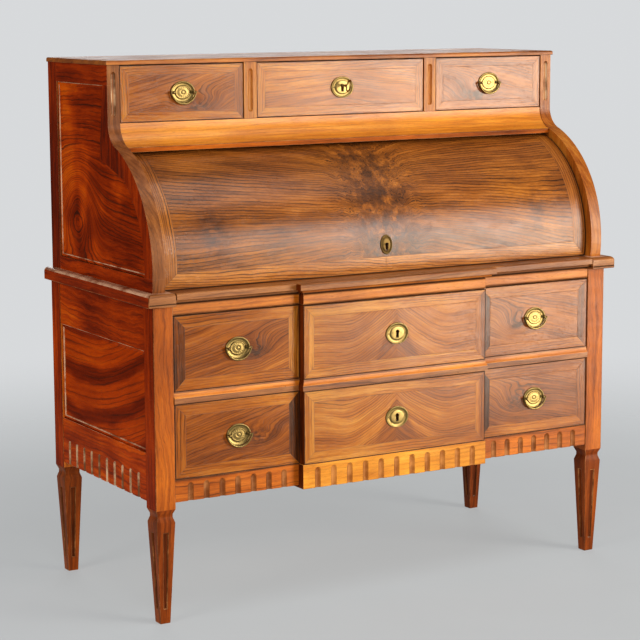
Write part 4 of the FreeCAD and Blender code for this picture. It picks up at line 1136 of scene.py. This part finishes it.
def makeBail(look):
    radius = (look["halfWidth"] ** 2 + look["drop"] ** 2) / (2 * look["drop"])
    centre = Vector((0, 0, radius - look["drop"]))
    droop = math.asin(centre.z / radius)
    dropAll()
    bpy.ops.mesh.primitive_circle_add(vertices=look["sides"], radius=1.0, fill_type="NOTHING",
                                      location=(-look["halfWidth"], 0, 0), rotation=(0, -droop, 0))
    bail = startPiece("bail")
    editPiece(bail)
    bpy.ops.transform.resize(value=(0.001, 0.001, 0.001), center_override=(-look["halfWidth"], 0, 0))
    bpy.ops.mesh.spin(steps=look["steps"], angle=math.pi - 2 * droop, center=centre, axis=(0, 1, 0))
    for ring in range(look["steps"] + 1):
        angle = math.pi + droop + (math.pi - 2 * droop) * ring / look["steps"]
        spot = centre + radius * Vector((math.cos(angle), 0, math.sin(angle)))
        swell = math.sin(math.pi * ring / look["steps"]) ** 1.5
        size = (look["thin"] + (look["thick"] - look["thin"]) * swell) / 0.001
        pickVerts(bail, lambda place: (place - spot).length < 0.00105)
        bpy.ops.transform.resize(value=(size, size, size), center_override=spot)
    bpy.ops.mesh.select_all(action="DESELECT")
    bpy.ops.mesh.select_non_manifold()
    bpy.ops.mesh.edge_face_add()
    closePiece()
    steps = [(look["pin"] * 0.8, look["reach"]), (look["pin"], look["reach"] - 0.0003), (look["pin"], 0.0021)]
    for degrees in range(-54, 85, 12):
        steps.append((look["lug"] * math.cos(math.radians(degrees)),
                      -look["lug"] * math.sin(math.radians(degrees))))
    lug = turned("bailLug", steps, 20)
    lugs = leftAndRight(lug, look["halfWidth"], (0, 0, -math.pi / 2), (0, 0, math.pi / 2))
    return joinPieces("bail", [bail] + lugs)


# the keyed plate: the same dish with a plain raised middle, a keyhole and two pins

keyLook = {"bore": 0.0045, "slot": 0.0072, "drop": 0.0142, "lift": 0.00405, "pinAt": 0.0222,
           "pinRadius": 0.0014}


def cutKeyhole(piece, look, lift):
    bore = turned("boreCutter", [(look["bore"], 0.02), (look["bore"], -0.02)], 28)
    cutWith(piece, copyTo(bore, "bore", (0, 0, lift)))
    bpy.data.objects.remove(bore)
    half = look["slot"] / 2
    cutWith(piece, block("slotCutter", (-half, -0.02, lift - look["drop"]),
                         (half, 0.02, lift - look["bore"] * 0.5), 0))
    onlySelect(piece)
    smoothBy(roundAngle)


def keyedPlate(look, keyhole):
    plate = ovalDish("keyedPlate", look, look["rim"] + look["hollow"] + look["keyed"])
    drawOval(look)
    cutKeyhole(plate, keyhole, keyhole["lift"])
    head = keyhole["pinRadius"]
    pin = turned("platePin", [(head, -0.0006), (head, -0.0014), (head * 0.85, -0.0019),
                              (head * 0.45, -0.0022)], 16)
    return joinPieces("keyedPlate", [plate] + leftAndRight(pin, keyhole["pinAt"]))


# the cylinder's upright oval: a beaded rim round a stepped middle, bent to the shell

uprightLook = {"width": 0.032, "height": 0.046, "sides": 80, "edge": 0.0008, "beads": 30,
               "beadRadius": 0.0011, "beadAt": 0.88,
               "steps": [(0.0004, 0.0007), (0.0006, 0.0003), (0.0016, 0.0), (0.0005, -0.0004),
                         (0.0006, -0.0004), (0.0007, 0.0002), (0.0009, 0.0008), (0.0016, 0.0004),
                         (0.0016, 0.0001)], "angle": 5.3}


def uprightPlate(look, keyhole, shell):
    plate = ovalDish("uprightPlate", look, look["steps"])
    drawOval(look)
    cutKeyhole(plate, keyhole, 0.0)
    size = look["beadRadius"]
    bead = turned("rimBead", [(size * 0.9, 0.0003), (size, 0.0), (size * 0.85, -0.0005),
                              (size * 0.4, -0.0009)], 10)
    beads = []
    for index in range(look["beads"]):
        angle = math.tau * index / look["beads"]
        x = math.cos(angle) * look["width"] / 2 * look["beadAt"]
        z = math.sin(angle) * look["height"] / 2 * look["beadAt"]
        beads.append(copyTo(bead, "bead", (x, -0.0017, z)))
    bpy.data.objects.remove(bead)
    plate = joinPieces("cylinderEscutcheon", [plate] + beads)
    for vertex in plate.data.vertices:
        # follows the round of the shell
        vertex.co.y += vertex.co.z ** 2 / (2 * shell["radius"]) - shell["radius"]
    plate.location = (0, shell["axisY"], shell["axisZ"])
    plate.rotation_euler = (-math.radians(look["angle"]), 0, 0)
    onlySelect(plate)
    return startPiece("cylinderEscutcheon")


# the key: turned shank with collars, oval ring bow, bit with a ward cut

bowLook = {"reach": 0.0105, "wire": 0.0016, "height": 0.030, "shank": 0.0025, "stand": 0.0222, "tip": 0.0305,
           "bitDrop": 0.0095, "bitLength": 0.007, "bitWidth": 0.0026, "turn": 15.0}


def makeKey(look, keyhole, face, level):
    shank = look["shank"]
    steps = [(shank * 0.7, look["tip"]), (shank, look["tip"] - 0.0006), (shank, -0.0040),
             (shank * 1.35, -0.0046), (shank * 1.35, -0.0058), (shank * 0.85, -0.0066),
             (shank * 0.85, -0.0145), (shank * 1.25, -0.0156), (shank * 1.4, -0.0172), (shank * 1.1, -0.0188),
             (shank * 0.8, -look["stand"] - 0.0006), (shank * 0.4, -look["stand"] - 0.0016)]
    stem = turned("keyStem", steps)
    dropAll()
    bpy.ops.mesh.primitive_torus_add(major_segments=56, minor_segments=14,
                                     major_radius=look["reach"] - look["wire"], minor_radius=look["wire"],
                                     rotation=(0, math.pi / 2, 0),
                                     location=(0, -look["stand"] - look["reach"] + look["wire"], 0))
    bow = startPiece("keyBow")
    editPiece(bow)
    bpy.ops.transform.resize(value=(0.85, 1, look["height"] / look["reach"] / 2), center_override=(0, 0, 0))
    closePiece()
    half = look["bitWidth"] / 2
    inner = look["tip"] - look["bitLength"]
    bit = block("keyBit", (-half, inner, -look["bitDrop"]), (half, look["tip"], -0.0005), 0.0003)
    cutWith(bit, block("wardCutter", (-0.01, inner + 0.0026, -look["bitDrop"] - 0.001),
                       (0.01, inner + 0.0040, -0.0062), 0))
    key = joinPieces("drawerKey", [stem, bow, bit])
    key.location = (0, face, level)
    key.rotation_euler = (0, math.radians(look["turn"]), 0)
    onlySelect(key)
    return startPiece("drawerKey")


# a lock case behind a drawer front, from its solid
def lockCase(node, face):
    case = bpy.data.objects.new("lockCase", frame["nodes"][node].data.copy())
    bpy.context.scene.collection.objects.link(case)
    editPiece(case)
    bpy.ops.mesh.customdata_custom_splitnormals_clear()
    bpy.ops.mesh.remove_doubles(threshold=mergeGap)
    bpy.ops.mesh.dissolve_limited(angle_limit=math.radians(flatAngle))
    pickVerts(case, lambda place: place.y < face + 0.001)
    bpy.ops.mesh.delete(type="VERT")
    pickAll()
    toMode("OBJECT")
    smoothBy(smoothAngle)
    giveMaterial(case, oldIron)
    return case


bailPlaces = {}
for node in frame["nodes"]:
    if "_bail" in node:
        low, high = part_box(node)
        bailPlaces[node] = Vector(((low.x + high.x) / 2, (low.y + high.y) / 2 + postLook["stand"],
                                   high.z - bailLook["rise"]))

bail = makeBail(bailLook)
giveMaterial(bail, agedBrass)
for node, place in bailPlaces.items():
    fitPiece(copyTo(bail, plainName(node), place - Vector((0, postLook["stand"], 0))), node)
bpy.data.objects.remove(bail)

frontThickness = {"long": 0.022, "small": 0.020}
longPull = makePull(frontThickness["long"])
giveMaterial(longPull, agedBrass)
for row in ("upper", "lower"):
    pair = [copyTo(longPull, f"{hand}Pull", bailPlaces[f"long_drawer_{row}_bail_{hand}"])
            for hand in ("left", "right")]
    fitPiece(joinPieces(f"{row}DrawerPulls", pair), f"long_drawer_{row}_pull_plates")
bpy.data.objects.remove(longPull)
smallPull = makePull(frontThickness["small"])
giveMaterial(smallPull, agedBrass)
for hand in ("left", "right"):
    fitPiece(copyTo(smallPull, f"{hand}TopPull", bailPlaces[f"top_drawer_{hand}_bail"]),
             f"top_drawer_{hand}_pull_plate")
bpy.data.objects.remove(smallPull)

keyed = keyedPlate(dishLook, keyLook)
giveMaterial(keyed, agedBrass)
keyedPlaces = {
    "long_drawer_upper_lock": bailPlaces["long_drawer_upper_bail_left"] - Vector((0, breakDepth, 0)),
    "long_drawer_lower_lock": bailPlaces["long_drawer_lower_bail_left"] - Vector((0, breakDepth, 0)),
    "top_drawer_middle_lock": bailPlaces["top_drawer_left_bail"],
}
for node, place in keyedPlaces.items():
    spot = Vector((0, place.y, place.z))
    words = node.split("_")
    plate = copyTo(keyed, "keyedPlate", spot)
    fitPiece(joinPieces(words[0] + words[2].title() + "Lock", [plate, lockCase(node, spot.y)]), node)
bpy.data.objects.remove(keyed)
upright = uprightPlate(uprightLook, keyLook, cylinderLook)
giveMaterial(upright, darkBrass)
fitPiece(upright, "cylinder_escutcheon")
topPlace = keyedPlaces["top_drawer_middle_lock"]
drawerKey = makeKey(bowLook, keyLook, topPlace.y, topPlace.z + keyLook["lift"])
giveMaterial(drawerKey, keyBrass)
fitPiece(drawerKey, "key")
print("brass fitted")


# inner pieces: each board or iron with its own grain and eased arrises

# boards of a drawer box, told apart by a point inside each
def boxBoards(node, wall, floor, front=0.0):
    low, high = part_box(node)

    def whichBoard(place):
        if place.y < low.y + front:
            return "front" if place.y > low.y + front - 0.008 else "knob"
        if place.x < low.x + wall or place.x > high.x - wall:
            return "leftSide" if place.x < (low.x + high.x) / 2 else "rightSide"
        return "bottom" if place.z < low.z + floor else "back"

    return whichBoard


def caseBoards(node, board, bays):
    low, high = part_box(node)
    pitch = (high.x - low.x - board) / bays

    def whichBoard(place):
        if place.z < low.z + board or place.z > high.z - board:
            return "floor" if place.z < low.z + board else "lid"
        if place.y > high.y - 0.006:
            return "back"
        bay = int((place.x - low.x) / pitch)
        onUpright = place.x - low.x - bay * pitch < board
        return f"upright{bay}" if onUpright else f"shelf{bay}"

    return whichBoard


def backBoards(node, count):
    low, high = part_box(node)
    return lambda place: "board" + str(min(count - 1, int((place.z - low.z) / (high.z - low.z) * count)))


runnerLevels = (0.4, 0.518)


def runnerBoards(place):
    low, high = runnerLevels
    if place.z < low:
        return "lowGuide"
    return "runner" if place.z < high else "highGuide"


# the first words of a board's name give its wood
def byBoard(split, woods):
    def choose(centre, normal):
        board = split(centre - normal * justInside)
        return next((index for start, index in woods.items() if board.startswith(start)), 0)

    return choose


sideWoods = {"leftSide": 2, "rightSide": 2, "front": 3, "knob": 3}
boxWalls = {"long_drawer_upper_box": (0.012, 0.013), "long_drawer_lower_box": (0.012, 0.013),
            "top_drawer_left_box": (0.009, 0.011), "top_drawer_middle_box": (0.009, 0.011),
            "top_drawer_right_box": (0.009, 0.011)}
for node, (wall, floor) in boxWalls.items():
    split = boxBoards(node, wall, floor)
    dressNode(node, [oakCross, oakEdge, oakWood], byBoard(split, sideWoods), 0.0006, split)
for hand in ("left", "right"):
    split = boxBoards(f"small_drawer_{hand}", 0.006, 0.011, 0.021)
    dressNode(f"small_drawer_{hand}", [oakCross, wornEdge, oakWood, caseWalnut],
              byBoard(split, sideWoods), 0.0005, split)
split = caseBoards("pigeonhole_case", 0.008, 5)
dressNode("pigeonhole_case", [caseWalnut, wornEdge, caseUpright], byBoard(split, {"upright": 2}),
          0.0006, split)
backWoods = {"lower": {"board1": 2, "board2": 3}, "upper": {"board0": 3, "board2": 2}}
for level, woods in backWoods.items():
    split = backBoards(f"{level}_back_boards", 3)
    dressNode(f"{level}_back_boards", [pineWood, pineEdge, pineDark, pinePale], byBoard(split, woods),
              0.0022, split)
dressNode("long_drawer_runners", [oakWood, oakEdge], split=runnerBoards)
dressNode("slide_bearers", [oakWood, oakEdge])
for node in ("rear_deck", "top_drawer_bed", "bottom_board"):
    dressNode(node, [pineWood, pineEdge])
dressNode("cylinder_cheeks", [caseUpright, wornEdge])
for node in ("pivot_plates", "cylinder_levers", "cylinder_lock", "slide_slot_plates", "lock_bolt"):
    dressNode(node, [oldIron, rubbedIron], None, 0.0003)
print("inner pieces dressed")


# floor, light and camera

stageLook = {"floor": (0.19, 0.20, 0.205), "glow": (0.300, 0.308, 0.312), "near": 1.0, "end": 3.2,
             "reach": 9.0, "backdrop": (0.586, 0.597, 0.608), "air": (0.98, 0.99, 1.0), "airStrength": 0.15}


def makeStage(look):
    dropAll()
    bpy.ops.mesh.primitive_plane_add(size=look["reach"], location=(0, 0, 0))
    floor = bpy.context.active_object
    floor.name = "paleFloor"
    bpy.ops.object.transform_apply(location=True, rotation=True, scale=True)
    material, shader, place = newMaterial("paleFloor")
    x, y = splitVector(place)[:2]
    away = calc("SQRT", y * y + x * x)
    mottle = remap(noiseAt(place, (3, 3, 3), 3.0), 0.3, 0.7, 0.98, 1.02)
    colour = mixColour(1.0, (*look["floor"], 1), joinVector(mottle, mottle, mottle), "MULTIPLY")
    plugNamed(shader, {"Base Color": colour, "Roughness": 0.9, "Emission Color": (*look["glow"], 1),
                       "Emission Strength": 1.0,
                       "Alpha": remap(away, look["near"], look["end"], 1.0, 0.0)})
    floor.data.materials.append(material)


# a pale backdrop for the camera, a softer air for the light

def makeAir(look):
    world = bpy.data.worlds.new("studioAir")
    bpy.context.scene.world = world
    world.use_nodes = True
    tree = world.node_tree
    air = tree.nodes["Background"]
    plugNamed(air, {"Color": (*look["air"], 1), "Strength": look["airStrength"]})
    backdrop = tree.nodes.new("ShaderNodeBackground")
    plugNamed(backdrop, {"Color": (*look["backdrop"], 1)})
    seen = tree.nodes.new("ShaderNodeLightPath").outputs["Is Camera Ray"]
    blend = tree.nodes.new("ShaderNodeMixShader")
    plugAll(blend, [nodeWire(socket) for socket in (seen, air.outputs[0], backdrop.outputs[0])])
    plugNamed(tree.nodes["World Output"], {"Surface": nodeWire(blend.outputs[0])})


def addLamp(name, place, target, size, watts, colour, mirrored=True):
    lamp = bpy.data.lights.new(name, "AREA")
    lamp.shape = "RECTANGLE"
    lamp.size, lamp.size_y = size
    lamp.energy = watts
    lamp.color = colour
    holder = bpy.data.objects.new(name, lamp)
    holder.location = place
    holder.rotation_mode = "QUATERNION"
    holder.rotation_quaternion = (Vector(target) - Vector(place)).to_track_quat("-Z", "Y")
    holder.visible_camera = False
    holder.visible_glossy = mirrored      # a fill that leaves no bright patch on the polish
    bpy.context.scene.collection.objects.link(holder)


cameraLook = {"place": (-2.5181, -4.1850, 1.3713), "yaw": 30.11, "pitch": 8.99, "roll": -0.31, "lens": 115.76,
              "shift": (0.0268, -0.0012)}


def makeCamera(look):
    yaw, pitch, roll = (math.radians(look[part]) for part in ("yaw", "pitch", "roll"))
    ahead = Vector((math.sin(yaw) * math.cos(pitch), math.cos(yaw) * math.cos(pitch), -math.sin(pitch)))
    level = Vector((math.cos(yaw), -math.sin(yaw), 0.0))
    rise = level.cross(ahead)
    right = math.cos(roll) * level + math.sin(roll) * rise
    up = -math.sin(roll) * level + math.cos(roll) * rise
    data = bpy.data.cameras.new("photoCamera")
    data.sensor_width = 36.0
    data.lens = look["lens"]
    data.shift_x, data.shift_y = look["shift"]
    data.clip_end = 200.0
    camera = bpy.data.objects.new("photoCamera", data)
    turn = Matrix((right, up, -ahead)).transposed().to_4x4()
    camera.matrix_world = Matrix.Translation(look["place"]) @ turn
    bpy.context.scene.collection.objects.link(camera)
    bpy.context.scene.camera = camera


makeStage(stageLook)
makeAir(stageLook)
addLamp("keySoftbox", (3.2, -4.8, 2.5), (0.2, -0.2, 0.75), (2.4, 1.6), 94, (1.0, 0.98, 0.95))
addLamp("sheenPanel", (3.56, -4.33, 0.6), (0.1, -0.3, 0.6), (2.2, 2.5), 182, (1.0, 0.945, 0.83))
addLamp("frontFill", (-2.2, -5.6, 2.0), (0.0, -0.2, 0.7), (2.2, 2.2), 90, (1.0, 0.98, 0.96))
addLamp("leftFill", (-4.5, -1.2, 1.6), (-0.5, 0.0, 0.7), (2.0, 2.4), 84, (1.0, 0.97, 0.94), False)
addLamp("topSoftbox", (0.6, -1.6, 4.2), (0.2, 0.0, 0.8), (2.6, 2.0), 40, (1.0, 1.0, 1.0))
addLamp("rimPanel", (2.2, 5.5, 1.7), (0.0, 0.0, 0.8), (4.0, 2.0), 60, (1.0, 1.0, 1.0))
makeCamera(cameraLook)
bpy.context.scene.view_settings.view_transform = "Standard"
bpy.context.scene.view_settings.look = "Medium High Contrast"
print("stage, lamps and camera set")
